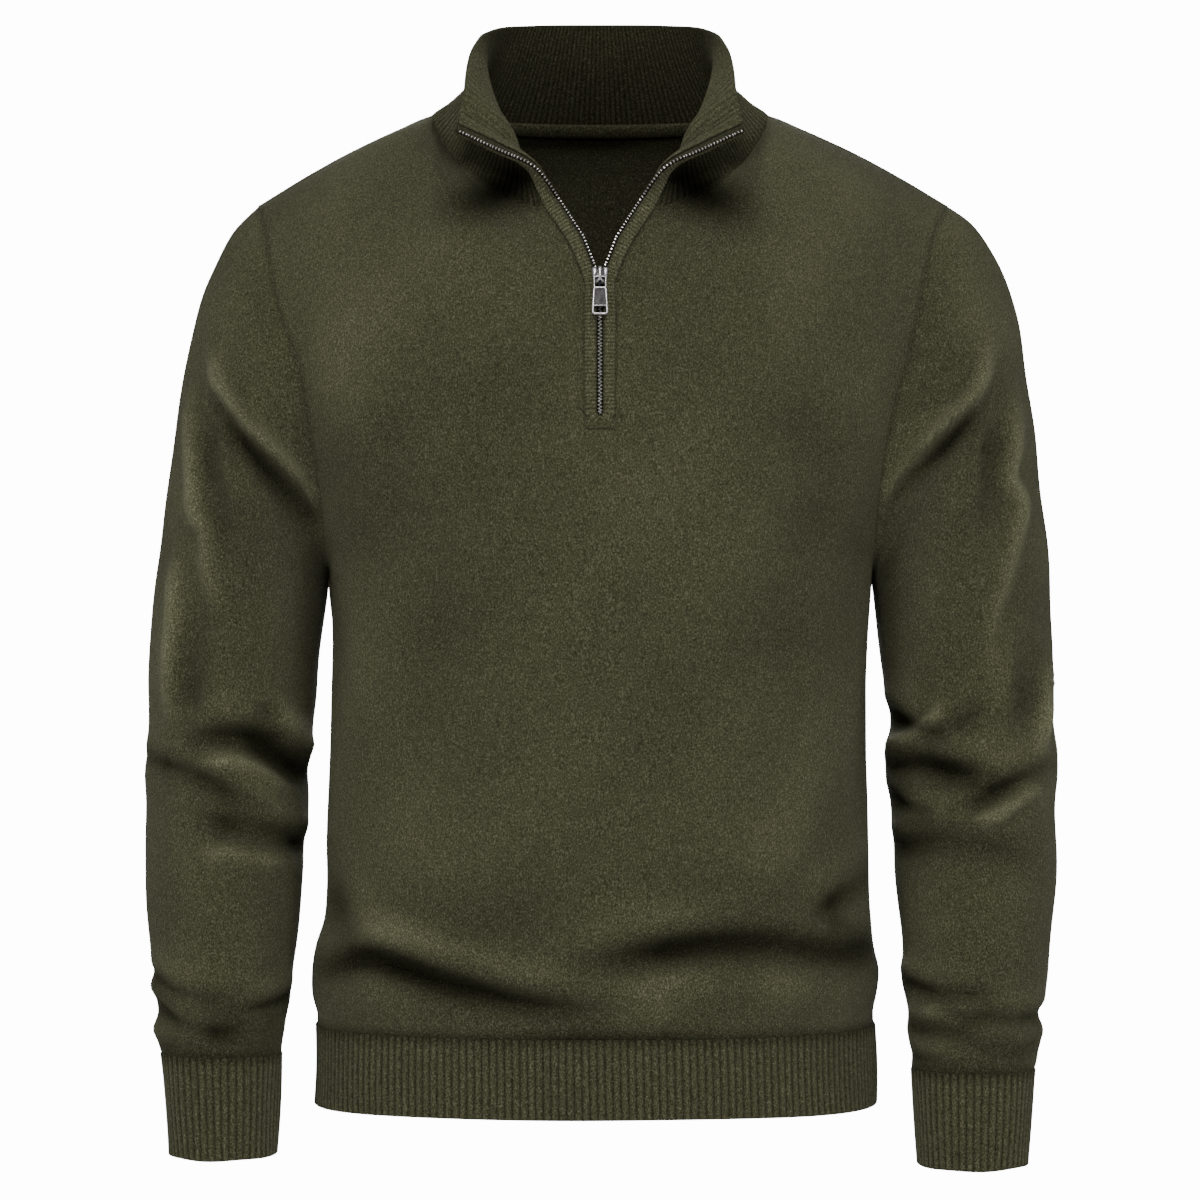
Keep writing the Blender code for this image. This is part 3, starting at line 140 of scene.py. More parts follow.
# Sleeve rings from the cap to the wrist: the outer and the inner point in front view, then the
# middle and half the depth in Y.  "bow" is the share of the armhole's own curve still in the ring.
SleeveRing = namedtuple("SleeveRing", "outer_x outer_z inner_x inner_z middle_y depth bow", defaults=(0.0,))
SLEEVE = {
    -1: [SleeveRing(*row) for row in (
        (0.2550, -0.0820, 0.1875, -0.3190, 0.004, 0.066, 0.6),
        (0.2705, -0.1120, 0.1880, -0.3225, 0.004, 0.067, 0.3),
        (0.2825, -0.1550, 0.1886, -0.3280, 0.004, 0.068, 0.1),
        (0.2910, -0.2000, 0.1894, -0.3360, 0.003, 0.068),
        (0.2980, -0.2550, 0.1910, -0.3500, 0.003, 0.068),
        (0.3060, -0.3150, 0.1930, -0.3710, 0.003, 0.067),
        (0.3105, -0.3700, 0.1955, -0.4000, 0.004, 0.065),
        (0.3110, -0.4200, 0.1990, -0.4250, 0.005, 0.063),
        (0.3148, -0.4490, 0.2005, -0.4490, 0.005, 0.062),
        (0.3132, -0.4750, 0.2000, -0.4740, 0.002, 0.061),
        (0.3130, -0.5080, 0.2025, -0.5060, -0.004, 0.058),
        (0.3120, -0.5400, 0.2055, -0.5390, -0.012, 0.055),
        (0.3080, -0.5720, 0.2085, -0.5710, -0.020, 0.052),
        (0.3058, -0.5865, 0.2100, -0.5860, -0.025, 0.050),
        (0.3075, -0.5970, 0.2106, -0.5965, -0.028, 0.049),
        (0.3045, -0.6070, 0.2114, -0.6070, -0.030, 0.048),
        (0.3025, -0.6160, 0.2135, -0.6160, -0.033, 0.046),
        (0.3040, -0.6280, 0.2160, -0.6280, -0.037, 0.044),
        (0.2985, -0.6425, 0.2170, -0.6425, -0.040, 0.041),
    )],
    1: [SleeveRing(*row) for row in (
        (0.2570, -0.0740, 0.1875, -0.3190, 0.004, 0.066, 0.6),
        (0.2740, -0.0990, 0.1880, -0.3225, 0.004, 0.067, 0.3),
        (0.2870, -0.1370, 0.1888, -0.3280, 0.004, 0.068, 0.1),
        (0.2955, -0.1860, 0.1896, -0.3360, 0.003, 0.068),
        (0.3025, -0.2430, 0.1912, -0.3500, 0.003, 0.068),
        (0.3085, -0.2950, 0.1935, -0.3710, 0.003, 0.067),
        (0.3125, -0.3600, 0.1965, -0.4000, 0.004, 0.065),
        (0.3130, -0.4180, 0.1995, -0.4250, 0.005, 0.063),
        (0.3158, -0.4490, 0.1970, -0.4490, 0.005, 0.062),
        (0.3142, -0.4720, 0.1995, -0.4740, 0.002, 0.061),
        (0.3146, -0.5080, 0.2020, -0.5080, -0.004, 0.058),
        (0.3125, -0.5440, 0.2050, -0.5440, -0.013, 0.055),
        (0.3085, -0.5770, 0.2075, -0.5770, -0.021, 0.052),
        (0.3055, -0.5960, 0.2070, -0.5960, -0.026, 0.050),
        (0.3030, -0.6070, 0.2100, -0.6070, -0.030, 0.049),
        (0.3000, -0.6160, 0.2115, -0.6160, -0.033, 0.048),
        (0.3025, -0.6270, 0.2090, -0.6270, -0.036, 0.046),
        (0.2998, -0.6400, 0.2110, -0.6400, -0.040, 0.044),
        (0.2955, -0.6530, 0.2120, -0.6530, -0.043, 0.041),
    )],
}
CUFF_END = {
    -1: SleeveRing(0.2920, -0.7110, 0.2195, -0.7110, -0.050, 0.036),
    1: SleeveRing(0.2897, -0.7175, 0.2154, -0.7175, -0.053, 0.036),
}

# The collar's -X half, from the zip (q = 0) to the middle of the back (q = 1): its seam to the
# body, two lines a third and two thirds of the way up, and its top edge, as (x, y, z).  Beside the
# zip the cloth turns from facing forward at the seam to lying open at the top corner.
CollarGuide = namedtuple("CollarGuide", "q seam low high top")
COLLAR = [CollarGuide(*row) for row in (
    (0.000, (-0.0290, -0.0950, -0.0677), (-0.0455, -0.0940, -0.0458),
     (-0.0700, -0.0860, -0.0320), (-0.0970, -0.0760, -0.0170)),
    (0.045, (-0.0422, -0.0925, -0.0723), (-0.0504, -0.0815, -0.0445),
     (-0.0672, -0.0740, -0.0257), (-0.0950, -0.0695, -0.0050)),
    (0.090, (-0.0550, -0.0880, -0.0665), (-0.0540, -0.0730, -0.0430),
     (-0.0630, -0.0670, -0.0170), (-0.0930, -0.0635, 0.0065)),
    (0.150, (-0.0710, -0.0800, -0.0586), (-0.0650, -0.0660, -0.0360),
     (-0.0680, -0.0580, -0.0080), (-0.0918, -0.0475, 0.0240)),
    (0.350, (-0.1045, -0.0380, -0.0270), (-0.0920, -0.0300, -0.0040),
     (-0.0800, -0.0180, 0.0240), (-0.0845, -0.0090, 0.0515)),
    (0.500, (-0.1165, -0.0030, -0.0010), (-0.0990, 0.0030, 0.0125),
     (-0.0810, 0.0100, 0.0345), (-0.0781, 0.0170, 0.0602)),
    (0.620, (-0.1080, 0.0340, -0.0030), (-0.0910, 0.0360, 0.0130),
     (-0.0760, 0.0380, 0.0390), (-0.0680, 0.0380, 0.0660)),
    (0.750, (-0.0800, 0.0610, -0.0065), (-0.0680, 0.0560, 0.0170),
     (-0.0570, 0.0530, 0.0430), (-0.0490, 0.0550, 0.0690)),
    (0.880, (-0.0400, 0.0730, -0.0080), (-0.0350, 0.0670, 0.0175),
     (-0.0300, 0.0630, 0.0440), (-0.0250, 0.0635, 0.0705)),
    (1.000, (0.0, 0.0760, -0.0085), (0.0, 0.0700, 0.0175),
     (0.0, 0.0665, 0.0440), (0.0, 0.0680, 0.0710)),
)]

# Creases of the cloth, in mm: the face they are on (-1 front, 1 back), their half width, how far they
# move the cloth out (in, if negative), and their path in front view as (x, z) points.
Crease = namedtuple("Crease", "face width height path")


def creases(face, *rows):
    """Creases on one face of the cloth, from rows of half width, height and path."""
    return [Crease(face, *row) for row in rows]


BODY_CREASES = creases(
    -1,
    (7, -5.5, ((-215, -590), (-182, -582), (-158, -575), (-130, -580), (-100, -589))),
    (8.8, -9.8, ((-215, -592), (-182, -583), (-158, -574), (-136, -578), (-109, -587), (-77, -595),
                 (-44, -602), (-9, -607), (22, -611))),
    (14, 2.2, ((-178, -564), (-145, -558), (-106, -567), (-66, -576), (-26, -583))),
    (9.5, -9.8, ((-20, -579), (31, -569), (72, -563), (112, -564), (152, -570), (182, -574), (215, -576))),
    (14, 2.6, ((7, -591), (53, -586), (106, -588), (152, -596))),
    (8, -9, ((212, -510), (184, -523), (165, -534), (144, -549))),
    (6.5, -5.4, ((152, -549), (166, -555), (184, -567), (207, -582))),
    (9, -6.5, ((-188, -520), (-181, -537), (-172, -554), (-160, -566))),
    (7.5, -5, ((-53, -625), (-1, -627), (31, -628), (66, -625))),
    (20, -1.4, ((-168, -536), (-119, -549), (-66, -553), (-26, -547))),
    (18, -2.6, ((59, -536), (106, -543), (165, -533))),
    (30, -2.3, ((-159, -249), (-119, -308), (-106, -388))),
    (30, -2.3, ((165, -249), (126, -315), (112, -401))),
    (18, -2.1, ((-168, -262), (-145, -236), (-119, -203))),
    (18, -2.1, ((170, -255), (142, -229), (116, -199))),
    (28, -1.6, ((-79, -156), (-66, -216), (-86, -282))),
) + creases(
    1,
    (9.5, -5.2, ((-182, -582), (-120, -570), (-50, -576), (20, -600))),
    (9.5, -5, ((182, -572), (140, -560), (90, -566), (40, -588))),
    (12, 3.4, ((-120, -548), (-20, -556), (90, -542))),
    (20, -2.2, ((-150, -470), (-50, -486), (60, -474))),
    (22, -2, ((160, -430), (60, -446), (-40, -440))),
    (16, -2.6, ((-178, -290), (-140, -240), (-110, -190))),
    (16, -2.6, ((178, -290), (142, -236), (108, -184))),
    (9, -2.4, ((-120, -612), (0, -616), (110, -611))),
)
SLEEVE_CREASES = {
    -1: creases(
        -1,
        (5.8, 9.9, ((-263, -164), (-260, -181), (-251, -199), (-243, -212), (-221, -234), (-203, -253),
                    (-191, -267))),
        (7.2, -7.8, ((-256, -189), (-251, -205), (-238, -230), (-217, -254), (-199, -276), (-190, -289))),
        (5.8, 6.1, ((-279, -189), (-279, -208), (-277, -231), (-275, -254), (-272, -280), (-267, -287),
                    (-266, -310), (-261, -329), (-255, -341))),
        (9, -4, ((-268, -199), (-266, -226), (-262, -253), (-255, -280), (-251, -307))),
        (5.8, 6.1, ((-287, -298), (-289, -321), (-288, -345), (-291, -376), (-292, -399), (-288, -421))),
        (8.5, -3.7, ((-274, -335), (-274, -362), (-277, -396), (-275, -419))),
        (8.5, -8.6, ((-285, -428), (-268, -429), (-251, -427), (-238, -428), (-225, -436), (-212, -446),
                     (-196, -460), (-180, -476))),
        (5.8, 6.8, ((-274, -444), (-251, -443), (-229, -451), (-209, -465))),
        (6.5, -5.7, ((-320, -440), (-299, -446), (-286, -450), (-270, -456), (-248, -468), (-225, -484))),
        (7.5, 4, ((-220, -405), (-212, -419), (-204, -428), (-198, -439))),
        (7.5, -3.3, ((-232, -402), (-224, -417), (-215, -431))),
        (8, -6.1, ((-275, -482), (-256, -486), (-238, -490), (-217, -495), (-198, -504), (-180, -514))),
        (7.5, 4.6, ((-271, -504), (-244, -508), (-213, -515))),
        (6, -4.8, ((-322, -580), (-300, -593), (-284, -600), (-262, -603), (-236, -603))),
        (6, -5, ((-322, -598), (-301, -610), (-283, -620), (-262, -624), (-238, -622))),
        (5.8, -4.8, ((-192, -594), (-210, -604), (-227, -610), (-250, -613), (-268, -611))),
        (6.2, -3.5, ((-318, -632), (-291, -637), (-261, -640), (-229, -636), (-200, -628))),
        (6, -3.9, ((-275, -625), (-252, -627), (-230, -624), (-200, -614))),
    ),
    1: creases(
        -1,
        (5.8, 9.9, ((264, -158), (260, -179), (251, -199), (235, -215), (216, -236), (196, -257),
                    (190, -267))),
        (7.2, -7.8, ((257, -186), (247, -212), (232, -230), (213, -247), (197, -267))),
        (5.8, 6.1, ((281, -186), (283, -208), (281, -231), (277, -254), (285, -267), (280, -298),
                    (274, -321), (266, -345), (262, -368))),
        (9, -4, ((270, -206), (267, -233), (264, -260), (258, -287))),
        (5.4, 6.5, ((306, -376), (304, -399), (301, -423), (299, -441))),
        (8.5, -3.7, ((291, -362), (289, -396), (285, -426))),
        (8.5, -8.6, ((178, -456), (196, -451), (216, -447), (235, -450), (255, -455), (275, -459))),
        (7.5, -5.1, ((176, -402), (195, -411), (210, -421), (226, -426), (240, -427))),
        (5.3, 8.7, ((300, -460), (281, -471), (263, -482), (251, -484))),
        (7, -5.7, ((318, -446), (297, -452), (276, -461), (256, -472), (236, -482))),
        (4.8, 6.5, ((197, -435), (220, -421), (235, -407))),
        (7.5, -3.7, ((239, -425), (249, -415), (260, -404))),
        (7.5, -5.3, ((176, -458), (196, -469), (212, -478), (230, -483))),
        (9, -4.8, ((180, -510), (203, -504), (230, -499), (264, -503), (290, -510))),
        (6, -5, ((186, -586), (206, -594), (226, -600), (248, -600), (266, -597))),
        (6, -5, ((222, -611), (243, -615), (262, -615), (284, -618), (315, -612))),
        (6, -5, ((188, -622), (210, -625), (234, -626), (252, -632), (276, -636), (312, -630))),
        (6, -3.9, ((190, -643), (215, -646), (247, -649), (281, -645), (306, -640))),
        (4.8, 3.6, ((217, -611), (234, -614), (254, -606))),
    ),
}
# Creases on the back of the left sleeve; those of the right one are their mirror image.
SLEEVE_BACK_CREASES = creases(
    1,
    (9, -5.4, ((288, -436), (250, -450), (206, -444))),
    (10, 3.2, ((292, -462), (250, -474), (212, -468))),
    (10, 4.6, ((274, -186), (244, -232), (200, -278))),
    (9, -3.6, ((262, -222), (236, -258), (200, -300))),
    (8, -3.6, ((224, -520), (256, -534), (290, -528))),
    (6.5, -3, ((222, -612), (256, -620), (286, -610))),
    (6.5, -2.8, ((226, -634), (256, -628), (290, -636))),
    (11, 3, ((300, -300), (298, -360), (304, -410))),
)
for crease in SLEEVE_BACK_CREASES:
    SLEEVE_CREASES[1].append(crease)
    SLEEVE_CREASES[-1].append(crease._replace(path=[(-x, z) for x, z in crease.path]))

# Rows of the panels: levels run 0 hem, 1 underarm, 2 chest, 3 neck and shoulder.
BODY_ROWS = [-0.626, -0.618, -0.606, -0.590, -0.573, -0.555, -0.532, -0.498, -0.458, -0.412, -0.362]
ARMHOLE_LEVELS = [1.0, 1.2, 1.4, 1.6, 1.8, 2.0]
YOKE_LEVELS = [2 + step / 6 for step in range(1, 7)]
YOKE_CLIMB = [0.0, 0.15, 0.33, 0.49, 0.635, 0.82, 1.0]   # of the slit's rows, chest to neck

# Zip hardware
SLIDER_PLATE = 0.0012
SLIDER_LIFT = 0.0022      # underside of the front plate above the panel's face
AXIS_ABOVE_PLATE = 0.0015
AXIS_BELOW_SLIDER = 0.0015
PULL_THICK = 0.0016
LINK_WIDTH = 0.0088
LINK_BAR = 0.0016
LINK_TALL = 0.0081
TAB_TOP_WIDTH = 0.0093
TAB_BOTTOM_WIDTH = 0.0109
TAB_TALL = 0.0190
TAB_HOLE_TALL = 0.0042
TAB_HOLE_ABOVE_END = 0.0018


# ---------------------------------------------------------------- small helpers
def mix(first, second, share):
    """Linear mix of two values or points."""
    return first + (second - first) * share


def ease(share):
    """Smooth step from 0 to 1."""
    share = np.clip(share, 0, 1)
    return share * share * (3 - 2 * share)


def unit(vectors):
    """Vectors scaled to length 1 along the last axis."""
    return vectors / np.maximum(np.linalg.norm(vectors, axis=-1, keepdims=True), 1e-12)


def cubic(values, slopes, cell, f, span):
    """Points at a share f of a cell between two values with their slopes."""
    return ((2 * f ** 3 - 3 * f ** 2 + 1) * values[cell] + (f ** 3 - 2 * f ** 2 + f) * span * slopes[cell]
            + (3 * f ** 2 - 2 * f ** 3) * values[cell + 1] + (f ** 3 - f ** 2) * span * slopes[cell + 1])


def smooth(knots, values, at):
    """Cubic curve through the values at rising knots."""
    knots = np.asarray(knots, float)
    values = np.asarray(values, float)
    slopes = np.gradient(values, knots, axis=0)
    at = min(max(at, knots[0]), knots[-1])
    cell = int(min(max(np.searchsorted(knots, at, side="right") - 1, 0), len(knots) - 2))
    span = knots[cell + 1] - knots[cell]
    return cubic(values, slopes, cell, (at - knots[cell]) / span, span)


def read(table, field, z):
    """One field of a table whose rows rise in z, read smoothly at height z."""
    return float(smooth([row.z for row in table], [getattr(row, field) for row in table], z))


def side_field(side):
    """Name of the half width field on this side."""
    return "minus_x" if side < 0 else "plus_x"


# ---------------------------------------------------------------- collar surface
def mirrored_guides():
    """Lines of the whole collar: q runs 0 to 2 from the -X zip edge to the +X one."""
    lines = np.array([guide[1:] for guide in COLLAR])
    flipped = lines[-2::-1] * (-1, 1, 1)
    qs = [guide.q for guide in COLLAR]
    return qs + [2 - q for q in qs[-2::-1]], np.concatenate([lines, flipped])


GUIDE_Q, GUIDE_LINES = mirrored_guides()


def collar_point(q, height):
    """Outer face of the collar: q along it (0 to 2), height 0 at the seam to 1 at the top."""
    return smooth(np.linspace(0, 1, 4), smooth(GUIDE_Q, GUIDE_LINES, q), height)


def neck_point(side, q):
    """Neck seam at q (0 zip, 1 middle of the back) on the given side."""
    point = collar_point(q, 0.0)
    return np.array([point[0] * -side, point[1], point[2]])


# ---------------------------------------------------------------- body surface
def column_x(face, column, climb, inner, edge):
    """X of a column: even at chest level, closer together towards the side below it."""
    if face < 0:
        if column <= 1:
            return mix(inner, PLACKET_HALF, column)
        share = (column - 1) / (COLUMNS - 1)
        start = PLACKET_HALF
    else:
        share = column / COLUMNS
        start = 0.0
    return start + (edge - start) * mix(sin(share * pi / 2), share, ease(climb))


def section_point(face, side, column, section, climb=0.0, inner=0.0, z=0.0):
    """Point of a superellipse section; climb cuts it off at the armhole as it rises."""
    edge = getattr(section, side_field(side))
    middle = section.front if face < 0 else section.back
    edge_y = ARMHOLE_REACH[face] * sin(climb * pi / 2)
    even_y = ARMHOLE_REACH[face] * (1 - cos(climb * pi / 2))
    turn = radians(90 - SIDE_CUT * climb)
    power = 2 / ROUNDNESS
    width = edge / sin(turn) ** power
    drop = max(cos(turn), 0.0) ** power
    centre = (even_y - middle * drop) / (1 - drop)
    x = column_x(face, column, climb, inner, edge)
    y = centre + (middle - centre) * max(1 - (x / width) ** ROUNDNESS, 0.0) ** (1 / ROUNDNESS)
    y += (edge_y - even_y) * (column / COLUMNS) ** 4
    return np.array([x * side, y, z])


def body_height(level):
    """Height of a level between 0 (hem) and 2 (chest)."""
    if level <= 1:
        return mix(HEM_TOP, UNDERARM, level)
    return mix(UNDERARM, CHEST, 1 - cos((level - 1) * pi / 2))


def body_point(face, side, column, level, slit=False):
    """Point of the front (-1) or back (1) panel between the hem and the chest."""
    z = body_height(level)
    climb = max(level - 1, 0.0)
    edge_table = ARMHOLE if climb > 0 else BODY
    section = BodySection(z, read(edge_table, "minus_x", z), read(edge_table, "plus_x", z),
                          read(BODY, "front", z), read(BODY, "back", z))
    inner = SLIT_HALF if slit and face < 0 else 0.0
    return section_point(face, side, column, section, climb, inner, z)


def panel_top(face, side, column):
    """Top edge of a panel: the neck seam, then the shoulder seam."""
    if column <= NECK_COLUMN:
        if face > 0:
            q = mix(1.0, NECK_POINT_Q, column / NECK_COLUMN)
        elif column <= 1:
            q = WELT_Q * column
        else:
            q = mix(WELT_Q, NECK_POINT_Q, (column - 1) / (NECK_COLUMN - 1))
        return neck_point(side, q)
    share = (column - NECK_COLUMN) / (COLUMNS - NECK_COLUMN)
    tip_x = getattr(ARMHOLE[-1], side_field(side)) * side
    tip = np.array([tip_x, SHOULDER_TIP_Y, SHOULDER_TIP_Z])
    point = mix(neck_point(side, NECK_POINT_Q), tip, share)
    point[2] += SHOULDER_CROWN * sin(share * pi)
    return point


def leaned_point(face, side, column, rise):
    """Yoke point before the armhole and the V bend it: the chest line leans back to the top."""
    chest = body_point(face, side, column, 2.0, slit=True)
    top = panel_top(face, side, column)
    if face < 0:
        middle = float(np.interp(rise, np.linspace(0, 1, len(YOKE_CLIMB)), YOKE_CLIMB))
    else:
        middle = sin(rise * pi / 2)
    climb = mix(middle, sin(rise * pi / 2), ease((column - 1) / 4))
    bend = mix(YOKE_BEND[face], SHOULDER_BEND, ease((column - 1) / 6))
    hold = max(1 - climb ** bend, 0.0) ** (1 / bend)
    point = mix(chest, top, climb)
    point[1] = mix(top[1], chest[1], hold)
    return point


def yoke_point(face, side, column, level):
    """Point of a panel between the chest and its top edge."""
    rise = level - 2
    point = leaned_point(face, side, column, rise)
    edge = leaned_point(face, side, COLUMNS, rise)
    armhole_x = read(ARMHOLE, side_field(side), edge[2])
    point[0] += side * (armhole_x - abs(edge[0])) * (column / COLUMNS) ** 4
    if face < 0:
        slit = leaned_point(face, side, 0, rise)
        half = float(np.interp(slit[2], [row.z for row in V_EDGE], [row.half for row in V_EDGE]))
        point[0] += side * (half - abs(slit[0])) * (1 - ease((column - 1) / 3))
    return point


def panel_point(face, side, column, level, slit=False):
    """Point of the front (-1) or back (1) panel at a column and a level."""
    if level <= 2:
        return body_point(face, side, column, level, slit)
    return yoke_point(face, side, column, level)


# ---------------------------------------------------------------- coarse grids
def grid_normals(grid):
    """Outward normals of a grid whose rows go up and whose columns go anticlockwise from above."""
    along = np.gradient(grid, axis=1)
    up = np.gradient(grid, axis=0)
    return unit(np.cross(along, up))


def path_lengths(points):
    """Length from the start of a line to each of its points."""
    return np.concatenate([[0], np.cumsum(np.linalg.norm(np.diff(points, axis=0), axis=1))])


def even_places(row, count):
    """Places of count + 1 points evenly spaced by length along a row."""
    lengths = path_lengths(row)
    return np.interp(np.linspace(0, lengths[-1], count + 1), lengths, np.arange(len(row)))


BODY_LEVELS = [(z - HEM_TOP) / (UNDERARM - HEM_TOP) for z in BODY_ROWS]
LEVELS = BODY_LEVELS + ARMHOLE_LEVELS + YOKE_LEVELS
CHEST_ROW = len(BODY_LEVELS) + len(ARMHOLE_LEVELS) - 1
MIDDLE = COLUMNS


def half_panel(face, side):
    """Grid of half a panel, from its middle column to its side."""
    return np.array([[panel_point(face, side, column, level, slit=row >= CHEST_ROW)
                      for column in range(COLUMNS + 1)] for row, level in enumerate(LEVELS)])


def chord_points(grid, axis):
    """Each inner point of a grid moved to the chord between its two neighbours along one axis."""
    rows = np.moveaxis(grid, axis, 0)
    before = np.linalg.norm(rows[1:-1] - rows[:-2], axis=-1, keepdims=True)
    after = np.linalg.norm(rows[2:] - rows[1:-1], axis=-1, keepdims=True)
    moved = rows.copy()
    moved[1:-1] = mix(rows[:-2], rows[2:], before / (before + after))
    return np.moveaxis(moved, 0, axis)


def relaxed(grid, loose):
    """The grid with its loose points evened out; each round ends with a step back, against shrinking."""
    eased = grid.copy()
    for _ in range(RELAX_ROUNDS):
        for step in (0.5, -0.52):
            target = (chord_points(eased, 0) + chord_points(eased, 1)) / 2
            eased += (target - eased) * loose[..., None] * step
    return eased


def loose_weights(grid, held_columns):
    """Weights of the points that may be evened out: inside the yoke, away from the held columns."""
    loose = np.zeros(grid.shape[:2])
    loose[len(BODY_LEVELS) - 2:-1, 1:-1] = 1
    loose[:, held_columns] = 0
    return loose


@lru_cache(maxsize=None)
def coarse_front():
    """Front panel before its creases, columns from -X to +X with the middle one doubled."""
    grid = np.concatenate([half_panel(-1, -1)[:, ::-1], half_panel(-1, 1)], axis=1)
    return relaxed(grid, loose_weights(grid, slice(MIDDLE - 1, MIDDLE + 3)))


@lru_cache(maxsize=None)
def coarse_back():
    """Back panel before its creases, columns from +X to -X."""
    grid = np.concatenate([half_panel(1, 1)[:, :0:-1], half_panel(1, -1)], axis=1)
    return relaxed(grid, loose_weights(grid, slice(0, 0)))


@lru_cache(maxsize=None)
def coarse_sleeve(side):
    """Sleeve rings from the wrist up to the armhole, before their creases."""
    turns = np.arange(2 * RING_HALF + 1) * pi / RING_HALF
    share = ((1 - np.cos(turns)) / 2)[:, None]
    armhole = armhole_points(side, np.arange(2.0 * RING_HALF + 1))
    bow = armhole - mix(armhole[0], armhole[RING_HALF], share)
    bow[:, 1] = 0.0
    rings = [sleeve_ring(side, ring, turns, share) + bow * ring.bow for ring in SLEEVE[side][::-1]]
    grid = np.array(rings + [armhole])
    return grid[:, ::-1] if side < 0 else grid


def sleeve_ring(side, ring, turns, across):
    """Points of one sleeve ring from the inner point round the front."""
    inner = np.array([ring.inner_x * side, 0.0, ring.inner_z])
    outer = np.array([ring.outer_x * side, 0.0, ring.outer_z])
    points = mix(inner, outer, across)
    points[:, 1] = ring.middle_y - ring.depth * np.sin(turns)
    return points


def cuff_rings(side):
    """Lower and upper ring of a cuff."""
    turns = np.arange(2 * RING_HALF + 1) * pi / RING_HALF
    share = ((1 - np.cos(turns)) / 2)[:, None]
    end = sleeve_ring(side, CUFF_END[side], turns, share)
    return end if side > 0 else end[::-1], coarse_sleeve(side)[0]


def hem_rings():
    """Lower and upper ring of the hem, from the front's -X side seam round to itself."""
    top = np.concatenate([np.delete(coarse_front()[0], MIDDLE, axis=0), coarse_back()[0][1:]])
    halves = {}
    for face, side in ((-1, -1), (-1, 1), (1, 1), (1, -1)):
        halves[face, side] = np.array([section_point(face, side, column, HEM_BOTTOM_SECTION, z=HEM_BOTTOM)
                                       for column in range(COLUMNS + 1)])
    bottom = np.concatenate([halves[-1, -1][:0:-1], halves[-1, 1], halves[1, 1][-2::-1], halves[1, -1][1:]])
    return bottom, top


# ---------------------------------------------------------------- fine grids
CELL = 0.0034             # edge of a cell of the fine panels
SAME_POINT = 2e-6         # distance within which two points of a cloth mesh are one
RING_RIMS = ("bottom", "top")    # edges of a wall that are closed: a ring has no side edges
ALL_RIMS = RING_RIMS + ("first", "last")
MM = 0.001
STEEP, GENTLE = 0.62, 1.25    # width of a trough above and below its line: cloth hangs over it
LIP_SHARE = 0.42          # height of the fold above a trough, as a share of the trough's depth
LIP_PLACE, LIP_WIDTH = 1.5, 0.75    # of that fold, in half widths of the trough
RIM_SHARE, RIM_PLACE, RIM_WIDTH = 0.2, 2.6, 1.2    # of the painted lighter rim above a trough's painted shade
CREASE_PARTS = 8          # points between two knots of a crease
CREASE_ENDS = (4, 0.1)    # how fast a crease fades in at its ends, and what is left there
UNEVEN, UNEVEN_TURNS, UNEVEN_START = 0.22, 9, 4000    # how a crease's depth sways along its length
FACE_PUSH, FACE_SHADE = 2.2, 0.5    # how fast its push and its shade fade where the cloth turns away
WAVES = 9                 # soft waves laid over each other
WAVE_LENGTHS = (0.045, 0.16)
WAVE_STRETCH = (1.0, 0.7, 0.8)      # how much they run along X, Y and Z
EDGE_CELLS = 4            # cells from an edge over which creases fade out
CALM_HALF, CALM_FADE = 0.009, 0.012    # half width of the calm cloth beside the zip, and its soft edge
SLIT_LEAST = 0.0004       # least half width of the slit
RING_PARTS = 6            # fine columns in a cell of a sleeve ring
SLEEVE_TURN, SLEEVE_BASE = 1.6, 0.55    # how a sleeve's share of front and back changes with its depth
FRONT_SEED, BACK_SEED, SLEEVE_SEED, HEM_SEED, CUFF_SEED = 3, 5, 11, 21, 23
SHADE_WIDTH = 1.25        # width of the painted shade of a trough, as a share of the trough's own
TROUGH_SHADE = 76         # painted shade: share of its light that cloth loses for each metre it goes in
RIDGE_LIGHT = 135         # painted highlight: share that it gains for each metre it stands out
TONE_RANGE = (0.26, 1.9)
HOLLOW_SHADOW = (0.064, -0.058)  # middle of the painted shadow in the hollow under a collar corner, in front view
HOLLOW_SHADOW_SIZE = (0.040, 0.0185)
HOLLOW_SHADOW_TILT = (0.90, 0.43)
HOLLOW_SHADOW_DEPTH = 0.93
GROOVE_TONE = 0.50        # painted shade between ribs, against their crests
SEAM_SHADE = 0.80          # painted shade of the panels' edges in the groove at a seam
FOLD_SHADE = np.array([[0.55], [0.8]])    # painted shade of the rows that hang over a ribbed band
BAND_EDGE = 0.0014        # radius of the lower edge of the hem and cuffs
BAND_EDGE_ROWS = [0.0, 0.0003, 0.0008, BAND_EDGE]    # distances of the rows that round it
BAND_ROW = 0.0032         # between the rows above it
RIB_PARTS = 8             # points across a rib
BAND_DROPS = ((0.0005, 2), (0.0003, 5))    # height and number of the slow waves of the lower edge
BAND_BULGE, BAND_BULGES = 0.0009, 5        # and of the bulges half way up
UNDER_FOLD, UNDER_FOLD_TONE = 0.008, 0.6   # painted shade of the panel's hanging fold on the top of the band
PAINTED_SHADING = {}                # painted shade and highlight of each panel's points, by panel or side
SLIT_COLUMNS = (MIDDLE, MIDDLE + 1)      # the two columns that the slit parts


def knots_of(rows):
    """Places of rows by their mean distance from each other."""
    steps = np.linalg.norm(np.diff(rows, axis=0), axis=-1)
    steps = steps.reshape(len(steps), -1).mean(axis=1)
    return np.concatenate([[0], np.cumsum(np.maximum(steps, 1e-6))])


def split_places(knots, size):
    """Fractional places that split every cell between the knots into parts of about one size."""
    parts = np.maximum(np.round(np.diff(knots) / size), 1).astype(int)
    inside = [cell + np.arange(count) / count for cell, count in enumerate(parts)]
    return np.concatenate(inside + [[len(parts)]])


